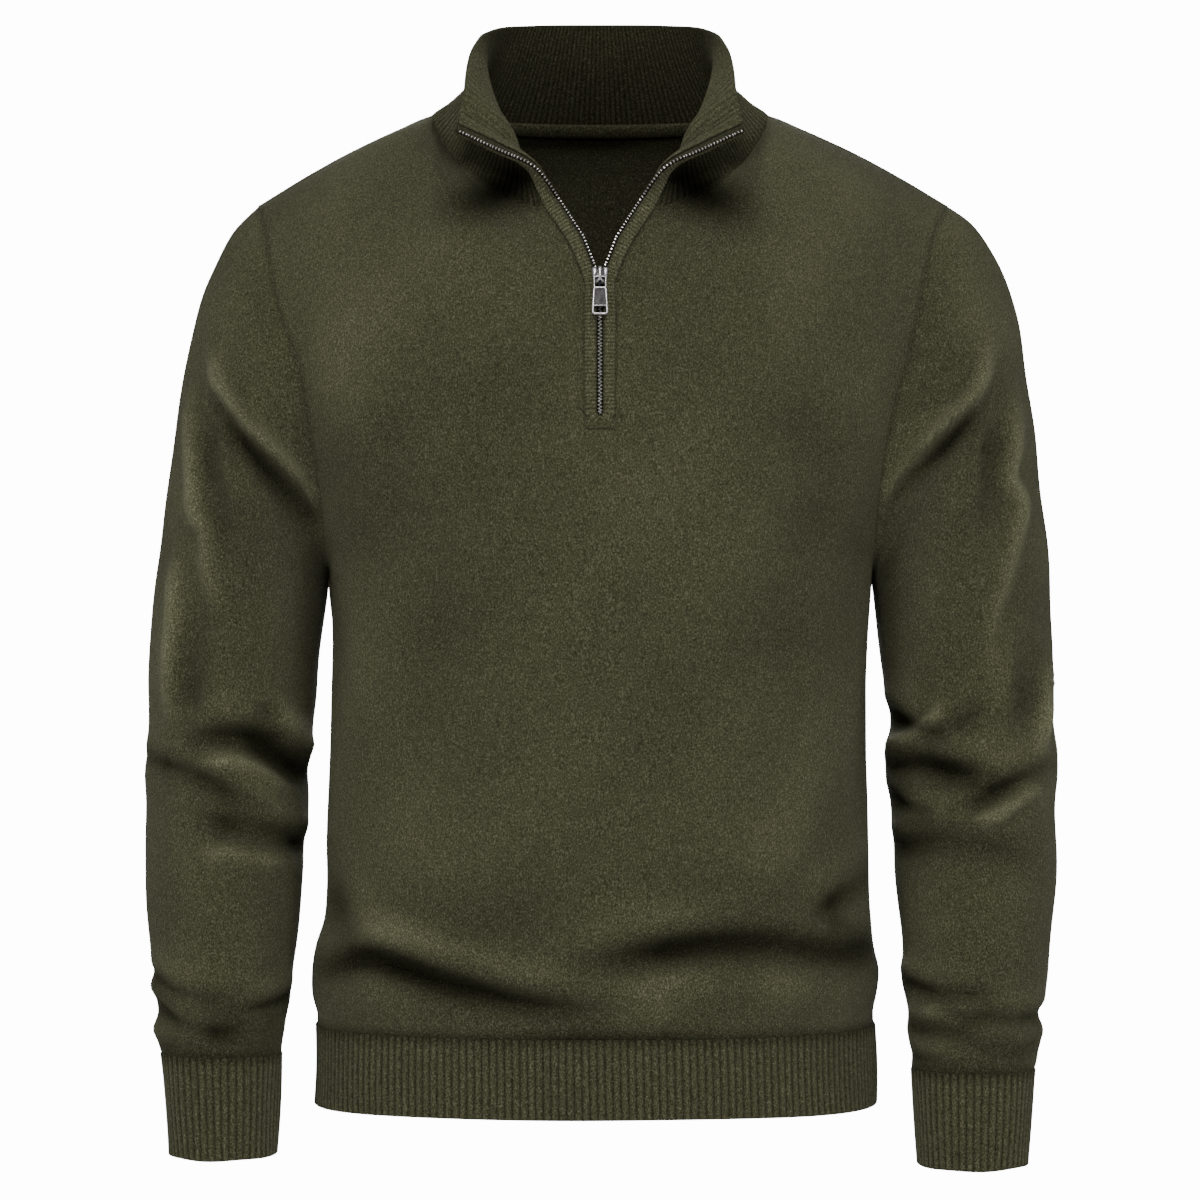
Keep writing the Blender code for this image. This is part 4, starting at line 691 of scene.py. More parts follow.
def at_places(rows, places, knots=None, closed=False):
    """Points at fractional places along a row of points or of rows, on smooth curves."""
    places = np.asarray(places, float)
    if closed:
        rows = np.concatenate([rows[-3:-1], rows, rows[1:3]])
        places = places + 2
        knots = None
    knots = knots_of(rows) if knots is None else knots
    slopes = np.gradient(rows, knots, axis=0)
    cell = np.clip(places.astype(int), 0, len(rows) - 2)
    shape = (-1,) + (1,) * (rows.ndim - 1)
    return cubic(rows, slopes, cell, (places - cell).reshape(shape), np.diff(knots)[cell].reshape(shape))


def across(grid, places, closed=False):
    """A grid with its columns at fractional places."""
    return at_places(grid.transpose(1, 0, 2), places, closed=closed).transpose(1, 0, 2)


def lengths_along(grid, axis):
    """Length along one axis of a grid from its start to each point."""
    steps = np.linalg.norm(np.diff(grid, axis=axis), axis=-1)
    start = np.zeros_like(np.take(grid[..., 0], [0], axis=axis))
    return np.concatenate([start, np.cumsum(steps, axis=axis)], axis=axis)


def knit_uv(grid, centre):
    """Wales run along the columns from the centre column; both directions in metres."""
    u = lengths_along(grid, 1)
    return np.stack([u - u[:, [centre]], lengths_along(grid, 0)], axis=-1)


def taper(count, cells):
    """Weights that rise from 0 at both ends of a row to 1 over some cells."""
    return ease(np.minimum(np.arange(count), np.arange(count)[::-1]) / cells)


def crease_push(crease, points):
    """How far a crease moves each point out, unevenly along its length, and its wider painted shade."""
    knots = np.array(crease.path) * MM
    width, height = crease.width * MM, crease.height * MM
    curve = at_places(knots, np.linspace(0, len(knots) - 1, CREASE_PARTS * len(knots)))
    flat = points[..., [0, 2]]
    low, high = curve.min(axis=0) - 4 * width, curve.max(axis=0) + 4 * width
    near = ((flat > low) & (flat < high)).all(axis=-1)
    away = np.linalg.norm(flat[near][:, None] - curve, axis=-1)
    nearest = away.argmin(axis=-1)
    along = nearest / (len(curve) - 1)
    fade = np.clip(np.minimum(along, 1 - along) * CREASE_ENDS[0] + CREASE_ENDS[1], 0, 1)
    scale = height * fade * (1 + UNEVEN * np.sin(along * UNEVEN_TURNS + UNEVEN_START * width))
    away = away.min(axis=-1) / width
    if height < 0:
        above = flat[near][:, 1] > curve[nearest, 1]
        profile = np.exp(-(away / np.where(above, STEEP, GENTLE)) ** 2)
        profile -= above * LIP_SHARE * np.exp(-((away - LIP_PLACE) / LIP_WIDTH) ** 2)
        shade = np.exp(-(away / SHADE_WIDTH) ** 2)
        shade -= above * RIM_SHARE * np.exp(-((away - RIM_PLACE) / RIM_WIDTH) ** 2)
    else:
        profile = shade = np.exp(-away ** 2)
    push, shadow = np.zeros((2,) + points.shape[:-1])
    push[near] = scale * profile
    shadow[near] = scale * shade
    return np.array([push, shadow])


def soft_waves(points, height, seed):
    """Low uneven waves over a surface, the same each time."""
    numbers = np.random.default_rng(seed)
    push = np.zeros(points.shape[:-1])
    for _ in range(WAVES):
        direction = numbers.normal(size=3) * WAVE_STRETCH
        direction *= 2 * pi / numbers.uniform(*WAVE_LENGTHS) / np.linalg.norm(direction)
        push += np.sin(points @ direction + numbers.uniform(0, 2 * pi))
    return push * height / 3


def crease_field(grid, creases, face, weights, seed):
    """How far the creases and soft waves move each point of a fine grid out, and the points' tone.

    The tone is painted shade down in the creases and painted highlight on the ridges and waves.
    """
    moved = np.array([soft_waves(grid, sweater().wave_height, seed)] * 2)
    for crease in creases:
        seen = face[crease.face]
        moved += crease_push(crease, grid) * (seen ** FACE_PUSH, seen ** FACE_SHADE)
    tone = np.clip(1 + np.where(moved[1] < 0, TROUGH_SHADE, RIDGE_LIGHT) * moved[1], *TONE_RANGE)
    return moved[0] * weights * sweater().crease_depth, tone


def facing(grid):
    """How much each point of a grid faces the front, and how much the back."""
    turned = grid_normals(grid)[..., 1]
    return {-1: np.clip(-turned, 0, 1), 1: np.clip(turned, 0, 1)}


def panel_relief(grid, weights, seed):
    """How the cloth of a panel moves, and its tone, with painted shade over the hem and along the armhole
    seams.
    """
    weights = weights * np.minimum(taper(len(grid), EDGE_CELLS)[:, None], taper(grid.shape[1], EDGE_CELLS))
    push, tone = crease_field(grid, BODY_CREASES, facing(grid), weights, seed)
    tone[:2] *= FOLD_SHADE
    above = np.flatnonzero(grid[:, 0, 2] > UNDERARM)
    tone[np.ix_(above, [0, -1])] *= SEAM_SHADE
    return grid_normals(grid) * push[..., None], tone


@lru_cache(maxsize=None)
def row_knots():
    """Places of the panels' rows, the same for the front and the back."""
    return (knots_of(coarse_front()) + knots_of(coarse_back())) / 2


@lru_cache(maxsize=None)
def column_places():
    """Fractional places of the fine columns of half a panel, from its middle to its side."""
    half = coarse_front()[:CHEST_ROW, MIDDLE + 1:]
    return split_places(knots_of(half.transpose(1, 0, 2)), CELL)


def collar_corner_shadow(points):
    """Painted shadow on the cloth in the hollow under each rolled collar corner."""
    tone = np.ones(points.shape[:-1])
    for side in (-1, 1):
        along, rise = HOLLOW_SHADOW_TILT
        turn = np.array([[along, side * rise], [-side * rise, along]])
        place = (points[..., [0, 2]] - (side * HOLLOW_SHADOW[0], HOLLOW_SHADOW[1])) @ turn
        away = np.linalg.norm(place / HOLLOW_SHADOW_SIZE, axis=-1)
        tone *= 1 - HOLLOW_SHADOW_DEPTH * np.exp(-away ** 2.4)
    return np.where(points[..., 1] < 0, tone, 1)


@lru_cache(maxsize=None)
def fine_front():
    """Both halves of the front, columns from -X to +X, and the first row that the slit parts."""
    rows = at_places(coarse_front(), split_places(row_knots(), CELL), row_knots())
    slit = int(np.searchsorted(rows[:, MIDDLE, 2], SLIT_END))
    heights = [SLIT_END] + [row.z for row in V_EDGE]
    widths = [0.0] + [row.half for row in V_EDGE]
    for column, side in zip(SLIT_COLUMNS, (-1, 1)):
        rows[:, column, 0] = side * np.interp(rows[:, column, 2], heights, widths)
        rows[slit:, column, 0] = side * np.maximum(abs(rows[slit:, column, 0]), SLIT_LEAST)
    right = np.concatenate([rows[:, :MIDDLE + 1], rows[:, [MIDDLE + 2]]], axis=1)
    left = np.concatenate([rows[:, [MIDDLE - 1]], rows[:, MIDDLE + 1:]], axis=1)
    halves = [across(right, MIDDLE - column_places()[::-1]), across(left, 1 + column_places())]
    whole = np.concatenate([halves[0], halves[1][:, 1:]], axis=1)
    count = len(column_places()) - 1
    beside_zip = np.clip((abs(whole[..., 0]) - CALM_HALF) / CALM_FADE, 0, 1)
    weights = np.where(whole[..., 2] > SLIT_END - CALM_FADE, beside_zip, 1)
    moved, tone = panel_relief(whole, weights, FRONT_SEED)
    halves[0] += moved[:, :count + 1]
    halves[1] += moved[:, count:]
    # painted crease shade and highlight, times the painted shadow under the collar corners
    PAINTED_SHADING["front"] = tone * collar_corner_shadow(whole)
    return halves, slit


@lru_cache(maxsize=None)
def fine_back():
    """The back panel, columns from +X to -X."""
    rows = at_places(coarse_back(), split_places(row_knots(), CELL), row_knots())
    half = column_places()
    grid = across(rows, np.concatenate([MIDDLE - half[:0:-1], MIDDLE + half]))
    moved, PAINTED_SHADING["back"] = panel_relief(grid, 1.0, BACK_SEED)
    return grid + moved


def armhole_points(side, places):
    """Armhole seam at places of the sleeve ring: up the front, over the shoulder, down the back."""
    first = len(BODY_LEVELS)
    front = coarse_front()[:, -1 if side > 0 else 0]
    back = coarse_back()[:, 0 if side > 0 else -1]
    up = at_places(front, first + np.minimum(places, RING_HALF), row_knots())
    down = at_places(back, first + np.minimum(2 * RING_HALF - places, RING_HALF), row_knots())
    return np.where((places <= RING_HALF)[:, None], up, down)


@lru_cache(maxsize=None)
def fine_sleeve(side):
    """Sleeve rings from the wrist to the armhole, from the underarm seam round the front."""
    coarse = coarse_sleeve(side)
    places = np.linspace(0, 2 * RING_HALF, 2 * RING_HALF * RING_PARTS + 1)
    rings = across(coarse, places, closed=True)
    armhole_places = places if side > 0 else 2 * RING_HALF - places
    rings[-1] = armhole_points(side, armhole_places)
    grid = at_places(rings, split_places(knots_of(rings), CELL))
    middle = (grid[..., 1].max(axis=1, keepdims=True) + grid[..., 1].min(axis=1, keepdims=True)) / 2
    depth = (grid[..., 1].max(axis=1, keepdims=True) - grid[..., 1].min(axis=1, keepdims=True)) / 2
    forward = (middle - grid[..., 1]) / depth
    faces = {face: np.clip(-face * forward * SLEEVE_TURN + SLEEVE_BASE, 0, 1) for face in (-1, 1)}
    weights = np.repeat(taper(len(grid), EDGE_CELLS)[:, None], grid.shape[1], axis=1)
    push, tone = crease_field(grid, SLEEVE_CREASES[side], faces, weights, SLEEVE_SEED + side)
    tone[:2] *= FOLD_SHADE
    tone[-1] *= SEAM_SHADE
    PAINTED_SHADING[side] = tone
    bent = grid + grid_normals(grid) * push[..., None]
    bent[:, -1] = bent[:, 0] = (bent[:, 0] + bent[:, -1]) / 2
    return bent


def closed_normals(grid):
    """Outward normals of a grid of closed rings."""
    wide = np.concatenate([grid[:, -3:-1], grid, grid[:, 1:3]], axis=1)
    return grid_normals(wide)[:, 2:-2]


# ---------------------------------------------------------------- cloth meshes
def add_piece(name, points, faces, tones, material, body, replaces=(), sharp=None, uvs=None):
    """One object from points and faces, cleaned, shaded and set on its body; cloth also has its uvs."""
    mesh = bpy.data.meshes.new(name)
    mesh.from_pydata(points.tolist(), [], faces)
    # tone: a brightness for each point; on cloth it carries painted shade and highlight
    mesh.attributes.new("tone", "FLOAT", "POINT").data.foreach_set("value", tones)
    if uvs is not None:
        corners = np.zeros(len(mesh.loops), int)
        mesh.loops.foreach_get("vertex_index", corners)
        mesh.uv_layers.new(name="knit").data.foreach_set("uv", uvs[corners].ravel())
    clean = bmesh.new()
    clean.from_mesh(mesh)
    if uvs is not None:
        bmesh.ops.remove_doubles(clean, verts=clean.verts, dist=SAME_POINT)
    else:
        bmesh.ops.recalc_face_normals(clean, faces=clean.faces)
    clean.to_mesh(mesh)
    clean.free()
    mesh.materials.append(material)
    if sharp:
        mesh.shade_smooth()
        mesh.set_sharp_from_angle(angle=radians(sharp))
    piece = bpy.data.objects.new(name, mesh)
    bpy.context.scene.collection.objects.link(piece)
    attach(piece, body)
    if replaces:
        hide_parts(*replaces)
    return piece


class ClothMesh:
    """Collects the points, faces and knit directions of one cloth piece."""

    def __init__(self):
        self.points, self.uvs, self.tones, self.faces, self.count = [], [], [], [], 0

    def add(self, grid, uv, tone=1.0):
        """Vertex numbers of a grid of new points."""
        ids = np.arange(self.count, self.count + grid[..., 0].size).reshape(grid.shape[:-1])
        self.points.append(grid.reshape(-1, 3))
        self.uvs.append(np.asarray(uv).reshape(-1, 2))
        self.tones.append(np.broadcast_to(tone, grid.shape[:-1]).ravel())
        self.count += ids.size
        return ids

    def skin(self, ids, inside=False):
        """Faces over a grid of vertex numbers."""
        quads = np.stack([ids[:-1, :-1], ids[:-1, 1:], ids[1:, 1:], ids[1:, :-1]], axis=-1).reshape(-1, 4)
        self.faces.append(quads[:, ::-1] if inside else quads)

    def wall(self, outer, inner, uv, rims, tone=1.0, inner_tone=1.0):
        """A wall between two grids, closed along the named rims."""
        outer_ids, inner_ids = self.add(outer, uv, tone), self.add(inner, uv, inner_tone)
        self.skin(outer_ids)
        self.skin(inner_ids, inside=True)
        edges = {"bottom": (outer_ids[0], inner_ids[0]), "top": (inner_ids[-1], outer_ids[-1]),
                 "first": (inner_ids[:, 0], outer_ids[:, 0]), "last": (outer_ids[:, -1], inner_ids[:, -1])}
        for rim in rims:
            self.skin(np.stack(edges[rim])[::-1])

    def build(self, name, material, slot, replaces=(), sharp=55):
        """The piece as an object that rides on the garment."""
        points, uvs, tones, faces = map(np.concatenate, (self.points, self.uvs, self.tones, self.faces))
        add_piece(name, points, faces.tolist(), tones, material, "garment", replaces, sharp, uvs)


def rib_wave(turns):
    """Height of ribs, 0 to 1, over turns counted in ribs: round crests and narrow grooves."""
    return (0.5 + 0.5 * np.cos(2 * pi * turns)) ** 0.62


def edge_rounding(distance, radius):
    """Share of the full thickness at a distance from a rounded edge."""
    inside = 1 - np.clip(distance / radius, 0, 1)
    return np.sqrt(1 - inside ** 2)


def rib_tone(wave):
    """Tone of ribs: painted shade in the grooves between them, painted highlight on their crests."""
    return mix(GROOVE_TONE, 1.16, wave ** 0.8)


def rib_ring(name, lower, upper, ribs, height, replaces, seed):
    """A closed ribbed band from its lower ring to its upper one, ribbed on both sides."""
    places = np.linspace(0, len(lower) - 1, 16 * (len(lower) - 1) + 1)
    rings = [at_places(ring, places, closed=True) for ring in (lower, upper)]
    tall = np.linalg.norm(rings[1] - rings[0], axis=-1).mean()
    distances = np.concatenate([BAND_EDGE_ROWS, np.arange(2 * BAND_EDGE, tall - 0.001, BAND_ROW), [tall]])
    full = edge_rounding(distances, BAND_EDGE)[:, None, None]
    even = [at_places(ring, even_places(ring, RIB_PARTS * ribs)) for ring in rings]
    rows = even[0] + (even[1] - even[0]) * (distances / tall)[:, None, None]
    numbers = np.random.default_rng(seed)
    turns = np.arange(RIB_PARTS * ribs + 1) / RIB_PARTS
    sway = numbers.uniform(0, 6, 3)
    drop = sum(deep * np.sin(turns * 2 * pi * count / ribs + start)
               for (deep, count), start in zip(BAND_DROPS, sway))
    rows[..., 2] += (1 - distances / tall)[:, None] * drop
    normals = closed_normals(rows)
    belly = np.sin(distances / tall * pi)[:, None]
    bulge = BAND_BULGE * belly * np.sin(turns * 2 * pi * BAND_BULGES / ribs + sway[2])
    rows = rows + normals * bulge[..., None]
    wave = rib_wave(turns)[None, :, None]
    back_wave = rib_wave(turns + 0.5)[None, :, None]
    middle = rows - normals * RIB_CLOTH / 2
    outer = middle + normals * (RIB_CLOTH / 2 + height * wave) * full
    inner = middle - normals * (RIB_CLOTH / 2 + 0.5 * height * back_wave) * full
    band = ClothMesh()
    # painted shade under the panel's hanging fold
    under = np.interp(distances, [tall - UNDER_FOLD, tall], [1.0, UNDER_FOLD_TONE])[:, None]
    band.wall(outer, inner, knit_uv(rows, 0), RING_RIMS,
              rib_tone(wave[..., 0]) * under, rib_tone(back_wave[..., 0]))
    band.build(name, rib_material(), "rib", replaces, sharp=80)


# ---------------------------------------------------------------- materials
def fill(tree, sockets, values):
    """Gives sockets their values, or links them to the outputs of other nodes."""
    for key, value in values.items():
        if isinstance(value, bpy.types.NodeSocket):
            tree.links.new(value, sockets[key])
        else:
            sockets[key].default_value = value


def add_node(tree, kind, values=None, **settings):
    """Adds a shader node with its settings and values, and returns its outputs."""
    node = tree.nodes.new(kind)
    for key, value in settings.items():
        setattr(node, key, value)
    fill(tree, node.inputs, values or {})
    return node.outputs


def calculate(tree, operation, *values):
    """The result of a sum on sockets and numbers."""
    return add_node(tree, "ShaderNodeMath", dict(enumerate(values)), operation=operation)[0]


def ramp(tree, value, start, end, low=0.0, high=1.0):
    """The value mapped from one range to another."""
    return add_node(tree, "ShaderNodeMapRange", dict(enumerate((value, start, end, low, high))))[0]


def noise(tree, place, scale, detail, **more):
    """Soft noise over a surface."""
    values = {"Vector": place, "Scale": scale, "Detail": detail, **more}
    return add_node(tree, "ShaderNodeTexNoise", values)[0]


def blend(tree, share, first, second):
    """A mix of two colours."""
    return add_node(tree, "ShaderNodeMix", {0: share, "A": first, "B": second}, data_type="RGBA")["Result"]


def brightened(tree, colour_socket, factor):
    """A colour times a factor that changes over the surface."""
    return add_node(tree, "ShaderNodeVectorMath", {0: colour_socket, "Scale": factor}, operation="SCALE")[0]


def new_group(name, inputs, outputs):
    """An empty shader node group with named sockets, and the sockets of its two end nodes."""
    group = bpy.data.node_groups.new(name, "ShaderNodeTree")
    for label, kind, value in inputs:
        socket = group.interface.new_socket(label, in_out="INPUT", socket_type="NodeSocket" + kind)
        if value is not None:
            socket.default_value = value
    for label, kind in outputs:
        group.interface.new_socket(label, in_out="OUTPUT", socket_type="NodeSocket" + kind)
    return group, group.nodes.new("NodeGroupInput").outputs, group.nodes.new("NodeGroupOutput").inputs


@lru_cache(maxsize=None)
def knit_group():
    """Plain knit stitches: columns of leaning yarn loops, as height and as shade."""
    group, given, result = new_group(
        "knit_stitches",
        [("Vector", "Vector", None), ("Wale", "Float", 0.0015), ("Course", "Float", 0.0012),
         ("Contrast", "Float", 0.4)],
        [("Height", "Float"), ("Shade", "Float")])
    calc = partial(calculate, group)
    parts = add_node(group, "ShaderNodeSeparateXYZ", {0: given["Vector"]})
    wander = calc("MULTIPLY", calc("SUBTRACT", noise(group, given["Vector"], 90.0, 1.0), 0.5), 0.5)
    wale = calc("ADD", calc("DIVIDE", parts[0], given["Wale"]), wander)
    course = calc("DIVIDE", parts[1], given["Course"])
    half = calc("ABSOLUTE", calc("SUBTRACT", calc("FRACT", wale), 0.5))
    off = calc("MULTIPLY", calc("ABSOLUTE", calc("SUBTRACT", half, 0.25)), 4.0)
    across_yarn = calc("SQRT", calc("SUBTRACT", 1.02, calc("MULTIPLY", off, off)))
    lean = calc("ADD", course, calc("MULTIPLY", half, 1.7))
    beat = calc("ABSOLUTE", calc("SUBTRACT", calc("FRACT", lean), 0.5))
    along_yarn = calc("SUBTRACT", 1.0, calc("MULTIPLY", calc("MULTIPLY", beat, beat), 2.2))
    height = calc("MULTIPLY", across_yarn, along_yarn)
    dark = calc("MULTIPLY", calc("SUBTRACT", 1.0, height), given["Contrast"])
    fill(group, result, {"Height": height, "Shade": calc("SUBTRACT", 1.0, dark)})
    return group


@lru_cache(maxsize=None)
def heather_group():
    """Melange yarn: flecks of lighter and darker fibre, soft mottling and slow drifts of tone."""
    group, given, result = new_group(
        "heather_yarn",
        [("Vector", "Vector", None), ("Colour", "Color", (0.1, 0.1, 0.1, 1)),
         ("Light", "Color", (0.2, 0.2, 0.2, 1)), ("Dark", "Color", (0.02, 0.02, 0.02, 1)),
         ("Fleck", "Float", 0.5), ("Shade", "Float", 1.0)],
        [("Color", "Color"), ("Fuzz", "Float")])
    calc = partial(calculate, group)
    stretched = add_node(group, "ShaderNodeVectorMath", {0: given["Vector"], 1: (1.0, 1.0, 0.7)},
                         operation="MULTIPLY")[0]
    fibre = noise(group, stretched, 1050.0, 2.0, Roughness=0.55)
    mottle = noise(group, given["Vector"], 75.0, 3.0)
    drift = noise(group, given["Vector"], 9.0, 2.0)
    light = calc("MULTIPLY", ramp(group, fibre, 0.52, 0.72), given["Fleck"])
    dark = calc("MULTIPLY", ramp(group, fibre, 0.48, 0.30), given["Fleck"])
    flecked = blend(group, dark, blend(group, light, given["Colour"], given["Light"]), given["Dark"])
    tone = calc("ADD", calc("MULTIPLY", mottle, 0.16), calc("MULTIPLY", drift, 0.24))
    tone = calc("MULTIPLY", calc("ADD", tone, 0.80), given["Shade"])
    fill(group, result, {"Color": brightened(group, flecked, tone), "Fuzz": fibre})
    return group


def colour(value, factor=1.0):
    """A colour with its brightness changed."""
    return tuple(channel * factor for channel in value) + (1.0,)


def new_material(name):
    """A new node material, its node tree and its shader's inputs."""
    material = bpy.data.materials.new(name)
    material.use_nodes = True
    return material, material.node_tree, material.node_tree.nodes["Principled BSDF"].inputs


@lru_cache(maxsize=None)
def knit_material(name, wale, course, depth, tone=1.0, contrast=0.62, turned=False, sheen=0.09):
    """Olive melange knit; turned swaps wales and courses."""
    values = sweater()
    material, tree, shader = new_material(name)
    calc = partial(calculate, tree)
    uv = add_node(tree, "ShaderNodeUVMap", uv_map="knit")[0]
    if turned:
        parts = add_node(tree, "ShaderNodeSeparateXYZ", {0: uv})
        uv = add_node(tree, "ShaderNodeCombineXYZ", {0: parts[1], 1: parts[0]})[0]
    # the tone attribute holds painted shade and highlight; it darkens the colour, the gloss and the sheen
    # alike
    painted_tone = add_node(tree, "ShaderNodeAttribute", attribute_name="tone")["Fac"]
    knit = add_node(tree, "ShaderNodeGroup", {
        "Vector": uv, "Wale": wale, "Course": course, "Contrast": contrast}, node_tree=knit_group())
    heather = add_node(tree, "ShaderNodeGroup", {
        "Vector": add_node(tree, "ShaderNodeTexCoord")["Object"],
        "Colour": colour(values.yarn, tone), "Light": colour(values.fleck_light, tone),
        "Dark": colour(values.fleck_dark, tone), "Fleck": values.fleck_amount,
        "Shade": calc("MULTIPLY", knit["Shade"], painted_tone)}, node_tree=heather_group())
    height = calc("ADD", knit["Height"], calc("MULTIPLY", heather["Fuzz"], 0.5))
    bump = add_node(tree, "ShaderNodeBump", {"Height": height, "Distance": depth, "Strength": 1.0})
    fill(tree, shader, {
        "Base Color": heather["Color"],
        "Normal": bump[0],
        "Roughness": 0.93,
        "Specular IOR Level": calc("MULTIPLY", painted_tone, 0.18),
        "Sheen Weight": calc("MULTIPLY", painted_tone, sheen),
        "Sheen Roughness": 0.32,
        "Sheen Tint": (0.70, 0.69, 0.44, 1.0)})
    return material


def jersey_material():
    """Fine jersey of the body and sleeves."""
    values = sweater()
    return knit_material("olive_jersey", values.wale_pitch, values.course_pitch, 0.00055)


def rib_material():
    """Ribbed knit of the hem, cuffs and collar."""
    values = sweater()
    return knit_material("olive_rib", values.wale_pitch * 1.1, values.course_pitch, 0.00050, 0.97)


def trim_material():
    """Knitted strips beside the zip, their wales running across."""
    values = sweater()
    return knit_material("olive_trim", values.wale_pitch, values.course_pitch * 0.9, 0.00045, 0.97,
                         turned=True)


def tape_material():
    """Woven zip tape, almost black."""
    return knit_material("zip_tape_weave", 0.0008, 0.0007, 0.00008, 0.42, 0.5, sheen=0.08)


@lru_cache(maxsize=None)
def metal_material():
    """Gunmetal of the zip, rubbed a little lighter in places, and duller where its tone is low."""
    material, tree, shader = new_material("rubbed_gunmetal")
    rub = noise(tree, add_node(tree, "ShaderNodeTexCoord")["Object"], 420.0, 3.0)
    metal = sweater().metal
    tint = blend(tree, ramp(tree, rub, 0.35, 0.7), colour(metal, 0.8), colour(metal, 1.25))
    tone = add_node(tree, "ShaderNodeAttribute", attribute_name="tone")["Fac"]
    rough = ramp(tree, rub, 0.3, 0.7, 0.36, 0.22)
    duller = ramp(tree, tone, 0.1, 0.6, 0.40, 0.0)
    fill(tree, shader, {
        "Base Color": brightened(tree, tint, tone),
        "Roughness": calculate(tree, "ADD", rough, duller),
        "Metallic": 1.0})
    return material


# ---------------------------------------------------------------- settings
INNER_SHADE = 0.8          # painted shade on the inside of the panels and sleeves
CORNER_RADIUS = 0.0048    # of the collar's front corners
COLLAR_TALL = 0.078       # from the neck seam to the top edge
COLLAR_EDGE = 0.0015      # radius of the collar's rounded top edge
COLLAR_RISE = 0.004       # over this height the collar's ribs rise from the seam
COLLAR_FRONT = 0.0088     # width of the plain cells beside the zip
COLLAR_RIB_PARTS = 6      # points across a rib
COLLAR_INNER_SHADE = 0.47  # painted shade on the inside of the standing collar's back
TOP_EDGE_TONE = 0.85      # the inside at the top edge, where the painted shade gives way
WING_TONE = 0.45          # share of the ribs' painted shade left on the inside of the rolled corners
WING_FADE = (0.1, 0.3)    # place along half the collar, and width, of its rise to the whole
DEEP_START, DEEP_REACH = -0.05, 0.09     # Y where the painted shade on the inside starts, and over how far it deepens
FOOT_SHADE, FOOT_PLACE, FOOT_WIDTH = 0.5, 0.17, 0.14    # painted shade at the foot of the collar's front

LENS, SENSOR = 130.4, 36.0
EYE = (0.0, -3.0, -0.33465)
AIM = (0.0, 0.0, -0.33)   # of the lights
FLOOR = -1.35
FLOOR_CORNERS = [(-3, -3.5, FLOOR), (3, -3.5, FLOOR), (3, 3, FLOOR), (-3, 3, FLOOR)]
DOME_STRENGTH = 0.62
DOME_BELOW = 0.12         # share of the dome's light that comes from below
DOME_RISE = (-0.5, 0.8)   # heights between which it grows to the whole
BACKDROP_STRENGTH = 14.0  # of the white that only the camera sees
LIGHTS = [
    ("key_light", (-0.1, -2.5, 1.7), (1.2, 0.8), 76.0),
    ("left_light", (-2.2, -2.2, -0.1), (0.7, 1.4), 27.0),
    ("right_light", (2.2, -2.2, -0.1), (0.7, 1.4), 30.0),
    ("back_light", (0.0, 2.6, 0.5), (1.6, 1.2), 70.0),
]


def colour_setting(name, description, default):
    """A colour among the settings."""
    return FloatVectorProperty(name=name, description=description, default=default, subtype="COLOR", size=3,
                               min=0, max=1)


def length_setting(name, description, default, least, most):
    """A small length among the settings, in metres."""
    return FloatProperty(name=name, description=description, default=default, min=least, max=most,
                         unit="LENGTH", precision=5)


class SweaterSettings(bpy.types.PropertyGroup):
    """Sizes and colours of the sweater's finish."""

    yarn: colour_setting("Yarn", "Main colour of the melange yarn", (0.0545, 0.0548, 0.0255))
    fleck_light: colour_setting("Light fibre", "Lighter fibres in the yarn", (0.155, 0.153, 0.094))
    fleck_dark: colour_setting("Dark fibre", "Darker fibres in the yarn", (0.013, 0.013, 0.005))
    fleck_amount: FloatProperty(name="Fleck amount", description="How strongly the fibres' colours differ",
                                default=0.85, min=0, max=1, subtype="FACTOR")
    metal: colour_setting("Metal", "Colour of the zip's metal", (0.30, 0.285, 0.285))
    wale_pitch: length_setting("Wale pitch", "Width of a column of stitches", 0.00145, 0.0005, 0.01)
    course_pitch: length_setting("Course pitch", "Height of a row of stitches", 0.00115, 0.0005, 0.01)
    crease_depth: FloatProperty(name="Crease depth", description="Scale of all creases", default=1.0,
                                min=0, max=1.5, subtype="FACTOR")
    wave_height: length_setting("Wave height", "Height of the cloth's soft waves", 0.0007, 0, 0.004)
    tooth_pitch: length_setting("Tooth pitch", "Distance between teeth on one side of the zip",
                                0.0024, 0.0015, 0.004)


def sweater():
    """The scene's sweater settings."""
    return bpy.context.scene.sweater


